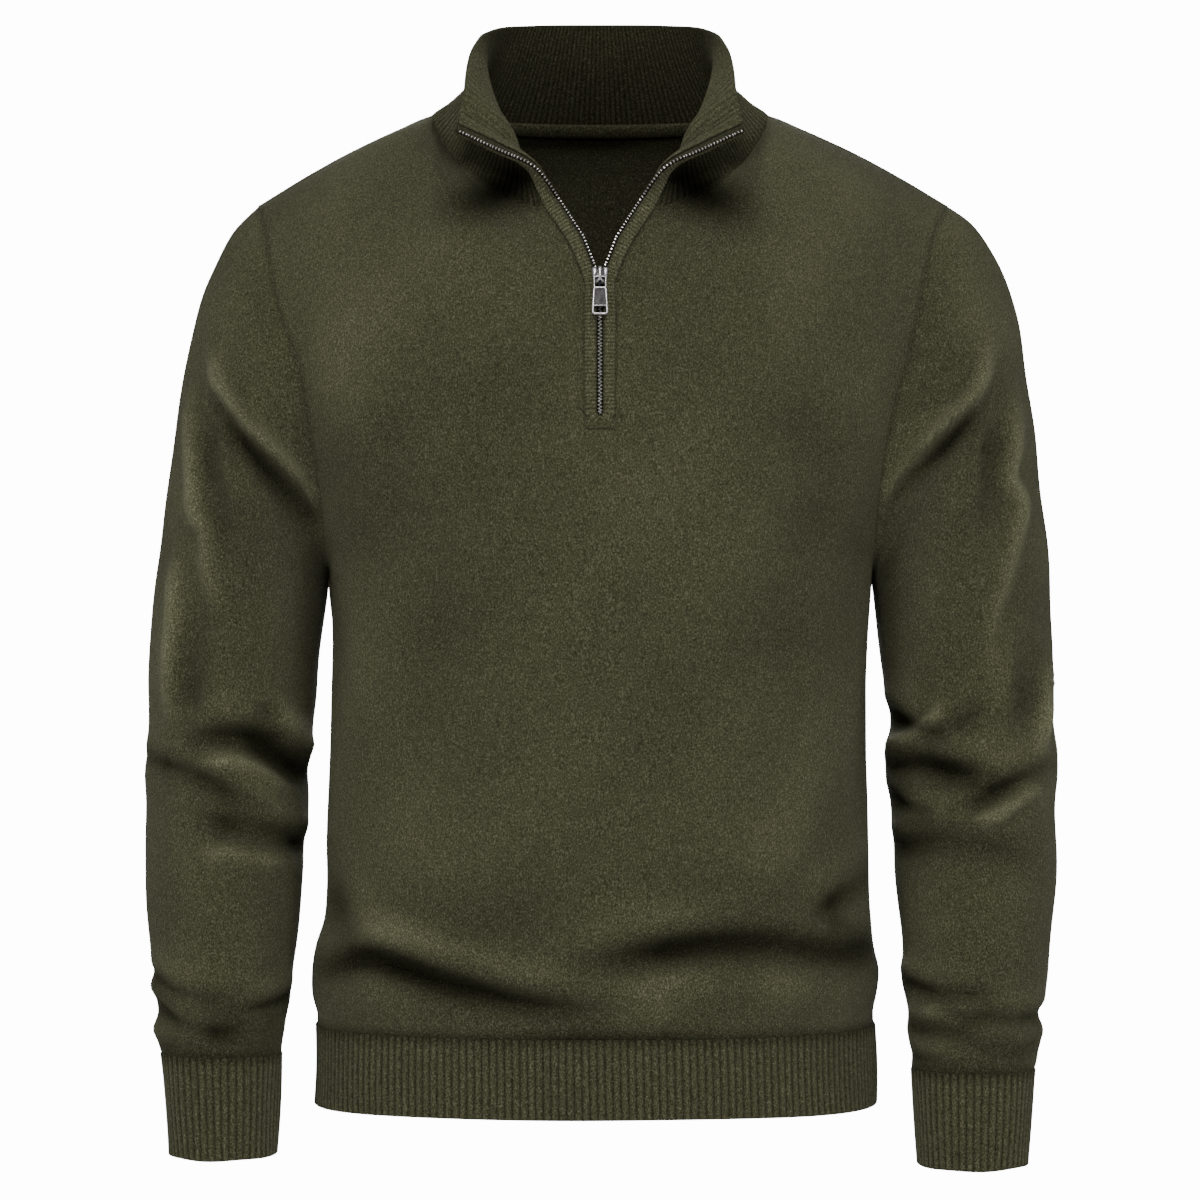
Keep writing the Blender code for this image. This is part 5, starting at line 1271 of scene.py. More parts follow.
class SWEATER_OT_panels(bpy.types.Operator):
    """Front and back body panels in fine jersey"""

    bl_idname = "sweater.panels"
    bl_label = "Body panels"
    bl_options = {"REGISTER", "UNDO"}

    def execute(self, context):
        """Builds the two panels with their creases."""
        halves, slit = fine_front()
        whole = np.concatenate([halves[0], halves[1][:, 1:]], axis=1)
        normals = closed_front_normals(halves, slit)
        uv = knit_uv(whole, halves[0].shape[1] - 1)
        front = ClothMesh()
        count = halves[0].shape[1]
        for half, normal, part, side in ((halves[0], normals[0], uv[:, :count], "first"),
                                         (halves[1], normals[1], uv[:, count - 1:], "last")):
            tone = PAINTED_SHADING["front"][:, :count] if side == "first" else PAINTED_SHADING["front"][:, count - 1:]
            outer_ids = front.add(half, part, tone)
            inner_ids = front.add(half - normal * CLOTH, part, INNER_SHADE)
            front.skin(outer_ids)
            front.skin(inner_ids, inside=True)
            front.skin(np.stack([inner_ids[0], outer_ids[0]]))
            front.skin(np.stack([outer_ids[-1], inner_ids[-1]]))
            edge, slit_edge = (0, -1) if side == "first" else (-1, 0)
            for column, rows in ((edge, slice(None)), (slit_edge, slice(slit - 1, None))):
                pair = [outer_ids[rows, column], inner_ids[rows, column]]
                front.skin(np.stack(pair if column == 0 else pair[::-1]))
        front.build("front_jersey", jersey_material(), "jersey", ("front",))
        outer = fine_back()
        back = ClothMesh()
        inner = outer - grid_normals(outer) * CLOTH
        back.wall(outer, inner, knit_uv(outer, outer.shape[1] // 2), ALL_RIMS, PAINTED_SHADING["back"], INNER_SHADE)
        back.build("back_jersey", jersey_material(), "jersey", ("back",))
        return {"FINISHED"}


def closed_front_normals(halves, slit):
    """Normals of the front's halves, the same on both sides of the middle below the slit."""
    normals = [grid_normals(half) for half in halves]
    shared = unit(normals[0][:slit, -1] + normals[1][:slit, 0])
    normals[0][:slit, -1] = normals[1][:slit, 0] = shared
    return normals


class SWEATER_OT_sleeves(bpy.types.Operator):
    """Both sleeves in fine jersey"""

    bl_idname = "sweater.sleeves"
    bl_label = "Sleeves"
    bl_options = {"REGISTER", "UNDO"}

    def execute(self, context):
        """Builds the two sleeves with their creases."""
        for side, name in SIDES:
            outer = fine_sleeve(side)
            sleeve = ClothMesh()
            uv = knit_uv(outer, outer.shape[1] // 2)
            inner = outer - closed_normals(outer) * CLOTH
            sleeve.wall(outer, inner, uv, RING_RIMS, PAINTED_SHADING[side], INNER_SHADE)
            sleeve.build("sleeve_jersey_" + name, jersey_material(), "jersey", ("sleeve_" + name,))
        return {"FINISHED"}


class SWEATER_OT_rib_bands(bpy.types.Operator):
    """Ribbed hem and cuffs"""

    bl_idname = "sweater.rib_bands"
    bl_label = "Hem and cuffs"
    bl_options = {"REGISTER", "UNDO"}

    def execute(self, context):
        """Builds the three ribbed bands."""
        rib_ring("hem_ribbing", *hem_rings(), HEM_RIBS, HEM_RIB_HEIGHT, ("hem_rib",), HEM_SEED)
        for side, name in SIDES:
            rib_ring("cuff_ribbing_" + name, *cuff_rings(side), CUFF_RIBS, CUFF_RIB_HEIGHT,
                     ("cuff_" + name,), CUFF_SEED + side)
        return {"FINISHED"}


class SWEATER_OT_collar(bpy.types.Operator):
    """Ribbed collar with its front corners turned out"""

    bl_idname = "sweater.collar"
    bl_label = "Collar"
    bl_options = {"REGISTER", "UNDO"}

    def execute(self, context):
        """Builds the collar, ribbed on both sides between the plain cells at the zip."""
        base, qs, turns, ribbed, full = fine_collar()
        normals = grid_normals(base)
        wave = (rib_wave(turns) * ribbed)[None, :, None]
        inner_wave = (rib_wave(turns + 0.5) * ribbed)[None, :, None]
        rise = np.clip(lengths_along(base, 0) / COLLAR_RISE, 0, 1)[..., None]
        full = full[:, None, None]
        middle = base - normals * RIB_CLOTH / 2
        outer = middle + normals * (RIB_CLOTH / 2 + COLLAR_RIB_HEIGHT * wave * rise) * full
        inner = middle - normals * (RIB_CLOTH / 2 + 0.6 * COLLAR_RIB_HEIGHT * inner_wave * rise) * full
        collar = ClothMesh()
        # painted shade on the collar's inside: darker towards the back, lighter again at the top edge
        inside_shade = mix(1.0, COLLAR_INNER_SHADE, ease((base[..., 1] - DEEP_START) / DEEP_REACH))
        inside_shade = mix(inside_shade, TOP_EDGE_TONE, np.linspace(-12, 1, len(base)).clip(0)[:, None])
        from_zip = np.minimum(qs, 2 - qs)
        # the ribs' painted shade is weaker on the inside of the rolled corners
        wing = np.clip((from_zip - WING_FADE[0]) / WING_FADE[1], WING_TONE, 1)
        # painted shade at the foot of the collar's front, fading up from the seam
        low = np.linspace(1, -1, len(base)).clip(0)[:, None]
        hollow = 1 - FOOT_SHADE * np.exp(-((from_zip - FOOT_PLACE) / FOOT_WIDTH) ** 2) * low
        # the collar's outside also takes the painted shadow under its corners
        outer_tone = mix(1.0, rib_tone(wave[0, :, 0]), ribbed) * hollow * collar_corner_shadow(base)
        inner_tone = mix(1.0, rib_tone(inner_wave[0, :, 0]), ribbed * wing) * inside_shade
        collar.wall(outer, inner, knit_uv(base, base.shape[1] // 2), ALL_RIMS, outer_tone, inner_tone)
        collar.build("collar_ribbing", rib_material(), "rib", ("collar",), sharp=80)
        return {"FINISHED"}


@lru_cache(maxsize=None)
def fine_collar():
    """Collar's base face, its places and rib turns, where it is ribbed and how full each row is."""
    q_line = np.linspace(0, 2, 801)
    middle = np.array([collar_point(q, 0.5) for q in q_line])
    lengths = path_lengths(middle)
    first, last = (np.interp(q, q_line, lengths) for q in (WELT_Q, 2 - WELT_Q))
    ribbed_lengths = np.linspace(first, last, COLLAR_RIBS * COLLAR_RIB_PARTS + 1)
    qs = np.interp(ribbed_lengths, lengths, q_line)
    edge = np.linspace(0, WELT_Q, STRIP_PARTS + 1)[:-1]
    qs = np.concatenate([edge, qs, 2 - edge[::-1]])
    rib_turns = np.arange(len(ribbed_lengths)) / COLLAR_RIB_PARTS
    turns = np.concatenate([np.zeros(len(edge)), rib_turns, np.zeros(len(edge))])
    ribbed = (qs > WELT_Q + 1e-9) & (qs < 2 - WELT_Q - 1e-9)
    heights = np.concatenate([np.linspace(0, 0.97, 37), [0.98, 0.988, 0.994, 0.998, 1.0]])
    beside = np.minimum(qs, 2 - qs) / WELT_Q * COLLAR_FRONT
    inside = np.maximum(1 - beside / CORNER_RADIUS, 0)
    top = 1 - CORNER_RADIUS / COLLAR_TALL * (1 - np.sqrt(1 - inside ** 2))
    base = np.array([[collar_point(2 - q, height * limit) for q, limit in zip(qs, top)]
                     for height in heights])
    full = edge_rounding((1 - heights) * COLLAR_TALL, COLLAR_EDGE)
    return base, qs, turns, ribbed, full


class SWEATER_OT_stage(bpy.types.Operator):
    """Pale floor, soft light and the camera"""

    bl_idname = "sweater.stage"
    bl_label = "Stage"
    bl_options = {"REGISTER", "UNDO"}

    def execute(self, context):
        """Sets the floor, the lights, the world and the camera."""
        scene = bpy.context.scene
        camera = bpy.data.cameras.new("camera")
        camera.lens = LENS
        camera.sensor_width = SENSOR
        eye = bpy.data.objects.new("camera", camera)
        eye.location = EYE
        eye.rotation_euler = (pi / 2, 0, 0)
        scene.collection.objects.link(eye)
        scene.camera = eye
        mesh = bpy.data.meshes.new("floor")
        mesh.from_pydata(FLOOR_CORNERS, [], [(0, 1, 2, 3)])
        floor = bpy.data.objects.new("floor", mesh)
        scene.collection.objects.link(floor)
        pale, tree, shader = new_material("pale_floor")
        fill(tree, shader, {"Base Color": colour((0.8,) * 3), "Roughness": 0.9})
        mesh.materials.append(pale)
        for name, place, size, power in LIGHTS:
            lamp = bpy.data.lights.new(name, "AREA")
            lamp.shape = "RECTANGLE"
            lamp.size, lamp.size_y = size
            lamp.energy = power
            holder = bpy.data.objects.new(name, lamp)
            holder.location = place
            holder.rotation_euler = (Vector(AIM) - Vector(place)).to_track_quat("-Z", "Y").to_euler()
            scene.collection.objects.link(holder)
        world = bpy.data.worlds.new("studio")
        scene.world = world
        world.use_nodes = True
        tree = world.node_tree
        direction = add_node(tree, "ShaderNodeTexCoord")["Generated"]
        up = add_node(tree, "ShaderNodeSeparateXYZ", {0: direction})["Z"]
        glow = ramp(tree, up, *DOME_RISE, DOME_STRENGTH * DOME_BELOW, DOME_STRENGTH)
        dome = tree.nodes["Background"]
        plain = (1, 1, 1, 1)
        fill(tree, dome.inputs, {"Color": plain, "Strength": glow})
        white = add_node(tree, "ShaderNodeBackground", {"Color": plain, "Strength": BACKDROP_STRENGTH})
        seen = add_node(tree, "ShaderNodeLightPath")["Is Camera Ray"]
        both = add_node(tree, "ShaderNodeMixShader", {0: seen, 1: dome.outputs[0], 2: white[0]})
        fill(tree, tree.nodes["World Output"].inputs, {"Surface": both[0]})
        return {"FINISHED"}


# ---------------------------------------------------------------- zip, trims and seams
ZIP_STEP = 0.00062
ZIP_DEPTH = -0.0012       # middle of the teeth below the cloth's face
LIP = 0.36                # how far the welt reaches past the teeth on the turned-out corners
LIP_START = 0.165         # length along the zip at which it starts to
LIP_RISE = 0.03           # length over which it does
WELT_RIB = 0.00050
WELT_RIB_PITCH = 0.0026
# Cross-sections as (share of the strip's width from the zip edge, height above the cloth's face).
WELT_PROFILE = [(-0.06, 0.0003), (-0.08, 0.0009), (-0.03, 0.0016), (0.12, 0.0021), (0.35, 0.0023),
                (0.50, 0.0023), (0.65, 0.0023), (0.85, 0.0021), (0.95, 0.0015), (0.98, 0.0009),
                (0.97, 0.0003), (0.50, 0.0002)]
TAPE_PROFILE = [(-0.29, -0.0016), (-0.31, -0.0012), (-0.29, -0.0008), (-0.20, -0.0010), (-0.08, -0.0018),
                (0.05, -0.0026), (0.50, -0.0027), (0.90, -0.0027), (0.90, -0.0034), (0.50, -0.0034),
                (0.05, -0.0033), (-0.10, -0.0026), (-0.20, -0.0019)]
FACING_PROFILE = [(0.16, -0.0036), (0.50, -0.0036), (0.94, -0.0036), (0.99, -0.0042), (0.97, -0.0050),
                  (0.88, -0.0055), (0.72, -0.0053), (0.40, -0.0053), (0.24, -0.0056), (0.15, -0.0051),
                  (0.13, -0.0042)]
# Painted shade and highlight at each point of the facing's profile, in the same order
FACING_TONES = [0.5, 0.8, 0.6, 0.6, 1.1, 1.25, 1.0, 1.0, 1.25, 1.1, 0.5]
# How full the welt's ribs are over its width, and its painted shade and highlight from groove to rib and
# from edge to middle.
WELT_CROWN = ([-0.06, 0.1, 0.85, 0.97], [0.3, 1, 1, 0.3])
WELT_RIB_TONES = (0.62, 1.3)
WELT_CROWN_TONES = (0.52, 1.22)
WELT_FACE = 0.0008        # points of the profile above this are on its face
BAR_LIFT, BAR_SWELL, BAR_RIB = 0.0004, 0.0016, 0.0002    # heights of the placket bar: edge, middle, ribs
BINDING_PARTS = 240       # cells along the binding
BINDING_ROWS = 12
BINDING_REACH = 0.13      # share of the collar's height that it covers
BINDING_BUMP = 0.00022
# painted shade of the binding, from its foot to its top
BINDING_TONES = (0.3, 0.78)
# Sections of a tooth from its root outwards: (reach, half width along the zip, half thickness).
TOOTH = [(-0.0002, 0.00026, 0.0006), (0.0001, 0.00042, 0.0009), (0.0007, 0.00044, 0.0010),
         (0.0010, 0.00038, 0.0009), (0.0014, 0.00044, 0.0008), (0.0016, 0.00020, 0.0004)]
TOOTH_OUT = 0.0013        # where the teeth start, past the cloth's edge
TOOTH_START, TOOTH_END = 0.0016, 0.003    # lengths without teeth at the two ends
TOOTH_BEVEL = 0.00012
TOOTH_TONE = 1.6          # of the teeth's metal, against the slider's
SEAT = (0.0, -0.112953, -0.120004)    # middle of the slider on the front panel, and its lean
SEAT_TILT = -0.23782
# Plates as (top width, bottom width, top, bottom, corner radius), from the slider's middle.
SLIDER_OUTLINE = (0.0086, 0.0076, 0.0050, -0.0058, 0.0018)
EAR_OUTLINE = (0.0044, 0.0032, 0.0058, -0.0022, 0.0015)
EAR_OUT = 0.0036
PLATE_TONE = 0.3
TAB_FACE_TONE = 0.19
BAR_WIDTHS = (0.0008, 0.0010, 0.0013, 0.0013, 0.0010, 0.0009, 0.0009, 0.0007)    # along the bridge
BAR_HALF = 0.0006         # half the thickness of the slider's bridge and prongs
LINK_STITCH = 0.0024      # pitch of the linking stitches
LINK_TONE = 0.85
NECK_LINES, NECK_STITCH = (-0.0009, 0.0009), 0.00085    # places and radius of the neck's two lines
ARMHOLE_STITCH, SHOULDER_STITCH = 0.0009, 0.0006

ZipLine = namedtuple("ZipLine", "edge across normal width length")


@lru_cache(maxsize=None)
def zip_line(side):
    """The zip edge on one side at even steps, from the slit's end to the collar's top."""
    halves, slit = fine_front()
    half = halves[1][slit - 1:] if side > 0 else halves[0][slit - 1:, ::-1]
    first_cell = int(np.searchsorted(column_places(), 1.0))
    heights = np.linspace(0, 1, 40)[1:]
    edges = np.array([collar_point(2 if side > 0 else 0, height) for height in heights])
    besides = np.array([collar_point(2 - WELT_Q if side > 0 else WELT_Q, height) for height in heights])
    path = np.stack([np.concatenate([half[:, 0], edges]),
                     np.concatenate([half[:, first_cell], besides])], axis=1)
    lengths = path_lengths(path[:, 0])
    steps = np.arange(0, lengths[-1], ZIP_STEP)
    path = at_places(path, np.interp(steps, lengths, np.arange(len(lengths))))
    for _ in range(6):
        path[1:-1] = (path[:-2] + 2 * path[1:-1] + path[2:]) / 4
    edge, beside = path[:, 0], path[:, 1]
    tangent = unit(np.gradient(edge, axis=0))
    across = beside - edge
    across -= tangent * (across * tangent).sum(axis=1, keepdims=True)
    width = np.linalg.norm(across, axis=1)
    across = unit(across)
    for _ in range(12):
        across[1:-1] = unit(across[:-2] + 2 * across[1:-1] + across[2:])
    normal = unit(np.cross(tangent, across)) * -side
    return ZipLine(edge, across, normal, width, steps)


def strip_points(line, profile, rows=slice(None), lip=0.0):
    """Points of a strip along the zip: the profile gives (share of the width, height) pairs."""
    shares, heights = np.array(profile).T
    width = line.width[rows, None]
    reach = lip * LIP * np.clip((line.length[rows, None] - LIP_START) / LIP_RISE, 0, 1)
    shares = shares - reach * (shares < 0.05)
    inside = np.clip(1 - (line.length[-1] - line.length[rows]) / CORNER_RADIUS, 0, 1)
    cut = CORNER_RADIUS * (1 - np.sqrt(1 - inside ** 2))
    shares = np.maximum(shares, shares.min(axis=1, keepdims=True) + cut[:, None] / width)
    away = line.across[rows, None] * (shares * width)[..., None]
    return line.edge[rows, None] + away + line.normal[rows, None] * heights[:, None]


def strip_piece(name, side, points, material, slot, replaces, tone=1.0):
    """A strip's mesh from its wrapped cross-section, closed at both ends."""
    tone = np.broadcast_to(tone, points.shape[:2])
    if side < 0:
        points, tone = points[:, ::-1], tone[:, ::-1]
    middle = points.mean(axis=1, keepdims=True)
    points = np.concatenate([mix(points[:1], middle[:1], 0.9), points, mix(points[-1:], middle[-1:], 0.9)])
    points = np.concatenate([points, points[:, :1]], axis=1)
    tone = np.concatenate([tone[:1], tone, tone[-1:]])
    tone = np.concatenate([tone, tone[:, :1]], axis=1)
    strip = ClothMesh()
    strip.skin(strip.add(points, knit_uv(points, 0), tone))
    strip.build(name, material, slot, replaces, sharp=70)


class SWEATER_OT_zip_trims(bpy.types.Operator):
    """Welts, tapes, facings, placket bar and back-neck binding"""

    bl_idname = "sweater.zip_trims"
    bl_label = "Zip trims"
    bl_options = {"REGISTER", "UNDO"}

    def execute(self, context):
        """Builds the strips beside the zip, the bar below it and the binding behind the neck."""
        for side, name in SIDES:
            line = zip_line(side)
            welt = strip_points(line, WELT_PROFILE, lip=1.0)
            ribs = WELT_RIB * (0.5 + 0.5 * np.cos(2 * pi * line.length / WELT_RIB_PITCH)) ** 0.7
            shares, heights = np.array(WELT_PROFILE).T
            crown = np.interp(shares, *WELT_CROWN) * (heights > WELT_FACE)
            welt += line.normal[:, None] * (ribs[:, None] * crown)[..., None]
            # painted shade in the grooves and at the edges, painted highlight on the ribs and the crown
            shade = mix(*WELT_RIB_TONES, ribs / WELT_RIB)[:, None] * mix(*WELT_CROWN_TONES, crown)
            strip_piece("placket_welt_knit_" + name, side, welt, trim_material(), "trim_knit",
                        ("placket_welt_" + name,), shade)
            tape = strip_points(line, TAPE_PROFILE, slice(2, None))
            strip_piece("zip_tape_weave_" + name, side, tape, tape_material(), "tape",
                        ("zip_tape_" + name,))
            open_rows = slice(int(np.searchsorted(line.edge[:, 2], V_START)), None)
            facing = strip_points(line, FACING_PROFILE, open_rows)
            strip_piece("zip_facing_knit_" + name, side, facing, trim_material(), "trim_knit",
                        ("zip_facing_" + name,), FACING_TONES)
        self.placket_bar()
        self.binding()
        return {"FINISHED"}

    def placket_bar(self):
        """Bar across the placket's lower end, rounded at its lower corners."""
        halves, slit = fine_front()
        face = halves[1][slit - 1, 0]
        up = unit(halves[1][slit - 1, 0] - halves[1][slit - 4, 0])
        columns, rows = np.meshgrid(np.linspace(-1, 1, 61), np.linspace(-1, 1, 25))
        swell = (1 - abs(columns) ** 7) ** 0.5 * (1 - abs(rows) ** 5) ** 0.5
        pinch = 1 - 0.05 * np.clip(-rows, 0, 1) ** 4
        ribs = np.cos(2 * pi * columns * PLACKET_HALF / WELT_RIB_PITCH)
        lift = BAR_LIFT + BAR_SWELL * swell + BAR_RIB * ribs * swell
        centre = face - up * (PLACKET_BAR_TALL / 2 + SEAM_GAP)
        out = np.array([0.0, -up[2], up[1]])
        bar = (centre + columns[..., None] * pinch[..., None] * np.array([PLACKET_HALF, 0, 0])
               + rows[..., None] * up * PLACKET_BAR_TALL / 2 + lift[..., None] * out)
        pad = ClothMesh()
        pad.wall(bar, bar - lift[..., None] * out * 0.9, knit_uv(bar, 0), ALL_RIMS)
        pad.build("placket_bar_trim", trim_material(), "trim_knit", ("placket_bar",))

    def binding(self):
        """Raised band along the inside of the back neck seam."""
        qs = np.linspace(NECK_POINT_Q + 0.01, 2 - NECK_POINT_Q - 0.01, BINDING_PARTS)
        heights = np.linspace(0.0, BINDING_REACH, BINDING_ROWS)
        base = np.array([[collar_point(2 - q, height) for q in qs] for height in heights])
        normals = grid_normals(base)
        share = np.linspace(0, 1, BINDING_ROWS)[:, None]
        ends = 1 - abs(np.linspace(-1, 1, BINDING_PARTS)) ** 30
        swell = (1 - abs(2 * share - 1) ** 2.4) ** 0.6 * ends
        bumps = BINDING_BUMP * np.cos(2 * pi * np.arange(BINDING_PARTS) / 3)
        inward = RIB_CLOTH + 0.0005 + (BINDING_THICK * 1.6 + bumps) * swell
        band = ClothMesh()
        top = base - normals * inward[..., None]
        back = base - normals * (RIB_CLOTH + 0.0004)
        # painted shade: darker at the binding's foot and on its back, lighter towards its top
        tone = mix(*BINDING_TONES, share) * np.ones(BINDING_PARTS)
        band.wall(back, top, knit_uv(base, 0), ALL_RIMS, 0.5, tone)
        band.build("back_neck_binding_knit", trim_material(), "trim_knit", ("back_neck_binding",))


class SWEATER_OT_zip_teeth(bpy.types.Operator):
    """Metal teeth of both sides"""

    bl_idname = "sweater.zip_teeth"
    bl_label = "Zip teeth"
    bl_options = {"REGISTER", "UNDO"}

    def execute(self, context):
        """Sets one tooth after another along each tape edge, the two sides half a pitch apart."""
        pitch = sweater().tooth_pitch
        sections = np.array(TOOTH)
        corners = np.array([(-1, -1), (-1, 1), (1, 1), (1, -1)])
        template = np.array([(reach, half * a, thick * b)
                             for reach, half, thick in sections for a, b in corners])
        sides = [[4 * s + c, 4 * s + (c + 1) % 4, 4 * s + 4 + (c + 1) % 4, 4 * s + 4 + c]
                 for s in range(len(sections) - 1) for c in range(4)]
        faces = np.array(sides + [[3, 2, 1, 0], [4 * len(sections) - 4 + c for c in range(4)]])
        for side, name in SIDES:
            line = zip_line(side)
            first = TOOTH_START + (pitch / 2 if side > 0 else 0)
            at = np.arange(first, line.length[-1] - TOOTH_END, pitch)
            index = np.searchsorted(line.length, at)
            root = line.edge[index] - line.across[index] * TOOTH_OUT + line.normal[index] * ZIP_DEPTH
            tangent = unit(np.gradient(line.edge, axis=0))[index]
            points = (root[:, None] - line.across[index, None] * template[:, :1]
                      + tangent[:, None] * template[:, 1:2] + line.normal[index, None] * template[:, 2:])
            start = np.arange(len(index)) * len(template)
            quads = (faces[None] + start[:, None, None]).reshape(-1, 4)
            tones = np.full(points[..., 0].size, TOOTH_TONE)
            teeth = add_piece("zip_teeth_" + name, points.reshape(-1, 3), quads.tolist(), tones,
                              metal_material(), "garment")
            bevel = teeth.modifiers.new("soft_edges", "BEVEL")
            bevel.width = TOOTH_BEVEL
            bevel.segments = 1
        return {"FINISHED"}


class MetalMesh:
    """Collects the points and faces of metal parts, in the slider's own X, Y and Z."""

    def __init__(self):
        self.points, self.faces, self.tones, self.count = [], [], [], 0

    def rings(self, rings, loop=False, tone=1.0):
        """Skin over rings of points; a loop joins its last ring to its first, else both ends close."""
        self.tones += [tone] * rings[..., 0].size
        ids = np.arange(self.count, self.count + rings[..., 0].size).reshape(rings.shape[:2])
        self.points.append(rings.reshape(-1, 3))
        self.count += ids.size
        here, there = (ids, np.roll(ids, -1, axis=0)) if loop else (ids[:-1], ids[1:])
        quads = np.stack([here, np.roll(here, -1, axis=1), np.roll(there, -1, axis=1), there], axis=-1)
        self.faces += quads.reshape(-1, 4).tolist()
        if not loop:
            self.faces += [ids[0][::-1].tolist(), ids[-1].tolist()]

    def tube(self, path, wide, deep, loop=False):
        """A bar along a path, with its half width across the path and its half depth."""
        path = np.asarray(path, float)
        round_loop = np.roll(path, -1, axis=0) - np.roll(path, 1, axis=0)
        tangent = round_loop if loop else np.gradient(path, axis=0)
        across = unit(np.cross(unit(tangent), (0.0, 1.0, 0.0)))
        up = unit(np.cross(across, tangent))
        turns = np.arange(12) * pi / 6
        flat = np.sign(np.cos(turns)) * abs(np.cos(turns)) ** 0.75
        tall = np.sign(np.sin(turns)) * abs(np.sin(turns)) ** 0.75
        wide = np.broadcast_to(wide, len(path))[:, None, None]
        spread = across[:, None] * flat[:, None] * wide
        self.rings(path[:, None] + spread + up[:, None] * tall[:, None] * deep, loop)

    def slab(self, outline, back, face, soft, tone=1.0):
        """A plate from a convex outline in X and Z, its face edges rounded."""
        outline = np.asarray(outline)
        tangent = np.roll(outline, -1, axis=0) - np.roll(outline, 1, axis=0)
        inward = unit(np.stack([-tangent[:, 1], tangent[:, 0]], axis=-1))
        rings = []
        for inset, y in ((0, back), (0, face + soft), (0.3 * soft, face + 0.3 * soft), (soft, face)):
            flat = outline + inward * inset
            rings.append(np.stack([flat[:, 0], np.full(len(flat), y), flat[:, 1]], axis=-1))
        self.rings(np.array(rings), tone=tone)

    def build(self, name, body, node):
        """The parts as one object in place of its solid."""
        points = np.concatenate(self.points) @ np.array(Matrix.Rotation(SEAT_TILT, 3, "X")).T + SEAT
        add_piece(name, points, self.faces, self.tones, metal_material(), body, (node,),
                  sharp=48)


def rounded_outline(top_width, bottom_width, top, bottom, radius):
    """Outline of a plate in X and Z, anticlockwise, with round corners."""
    points = []
    for x, z, start in ((top_width / 2, top, 0), (-top_width / 2, top, 90),
                        (-bottom_width / 2, bottom, 180), (bottom_width / 2, bottom, 270)):
        centre = (x - radius if x > 0 else x + radius, z - radius if z == top else z + radius)
        for step in range(6):
            turn = radians(start + 18 * step)
            points.append((centre[0] + radius * cos(turn), centre[1] + radius * sin(turn)))
    return points


class SWEATER_OT_zip_metal(bpy.types.Operator):
    """Slider and pull"""

    bl_idname = "sweater.zip_metal"
    bl_label = "Slider and pull"
    bl_options = {"REGISTER", "UNDO"}

    def execute(self, context):
        """Builds the slider with its ears and forked bridge, and the pull with its bare face."""
        plate = -(SLIDER_LIFT + SLIDER_PLATE)
        bar = plate - AXIS_ABOVE_PLATE - PULL_THICK / 2 - 0.0010
        slider = MetalMesh()
        slider.slab(rounded_outline(*SLIDER_OUTLINE), -SLIDER_LIFT, plate, 0.0005, PLATE_TONE)
        for side in (-1, 1):
            ear = [(x + side * EAR_OUT, z) for x, z in rounded_outline(*EAR_OUTLINE)]
            slider.slab(ear, -SLIDER_LIFT - 0.0002, plate - 0.0011, 0.0013)
            prong = [(side * 0.0003, bar + 0.0001, -0.0026), (side * 0.0010, bar + 0.0004, -0.0040),
                     (side * 0.0021, bar + 0.0018, -0.0052), (side * 0.0026, plate, -0.0056)]
            slider.tube(prong, BAR_HALF, BAR_HALF)
        bridge = [(0, plate + 0.0002, 0.0054), (0, plate - 0.0012, 0.0055), (0, bar + 0.0004, 0.0050),
                  (0, bar, 0.0040), (0, bar, 0.0020), (0, bar, -0.0010), (0, bar + 0.0001, -0.0032),
                  (0, bar + 0.0004, -0.0040)]
        slider.tube(bridge, BAR_WIDTHS, BAR_HALF)
        slider.build("slider_metal", "garment", "zip_slider")
        middle = plate - AXIS_ABOVE_PLATE
        drop = -AXIS_BELOW_SLIDER
        link_end = drop + LINK_BAR / 2 - LINK_TALL
        tab_end = link_end - TAB_TALL
        hole_top = tab_end + TAB_HOLE_ABOVE_END + TAB_HOLE_TALL
        pull = MetalMesh()
        link = rounded_outline(LINK_WIDTH - 0.0012, LINK_WIDTH - 0.0012, drop + 0.0002,
                               link_end - 0.0004, 0.0014)
        pull.tube([(x, middle, z) for x, z in link], 0.0006, 0.0007, True)
        frame = rounded_outline(TAB_TOP_WIDTH - 0.0014, TAB_BOTTOM_WIDTH - 0.0014, link_end - 0.0002,
                                tab_end + 0.0008, 0.0014)
        pull.tube([(x, middle, z) for x, z in frame], 0.0008, 0.0008, True)
        pull.tube([(x, middle, hole_top + 0.0004) for x in (-0.0044, 0.0, 0.0044)], 0.0005, 0.0007)
        face = rounded_outline(TAB_TOP_WIDTH - 0.0018, TAB_BOTTOM_WIDTH - 0.0024, link_end - 0.0006,
                               hole_top, 0.0006)
        pull.slab(face, middle + 0.0004, middle - 0.0001, 0.0001, TAB_FACE_TONE)
        pull.build("pull_metal", "pull", "pull_tab")
        return {"FINISHED"}


def seam_tube(points, normals, offset, radius, pitch, phase):
    """A raised line of linking stitches along a seam."""
    lengths = path_lengths(points)
    steps = np.arange(0, lengths[-1], pitch / 5)
    at = np.interp(steps, lengths, np.arange(len(lengths)))
    path, up = at_places(points, at), unit(at_places(normals, at))
    tangent = unit(np.gradient(path, axis=0))
    sideways = unit(np.cross(tangent, up))
    bead = radius * (0.72 + 0.28 * abs(np.sin(pi * (steps / pitch + phase))))[:, None, None]
    turns = np.arange(7)[None, :, None] * pi / 3
    centre = path + sideways * offset - up * radius * 0.25
    return centre[:, None] + bead * (sideways[:, None] * np.cos(turns) + up[:, None] * np.sin(turns) * 0.8)


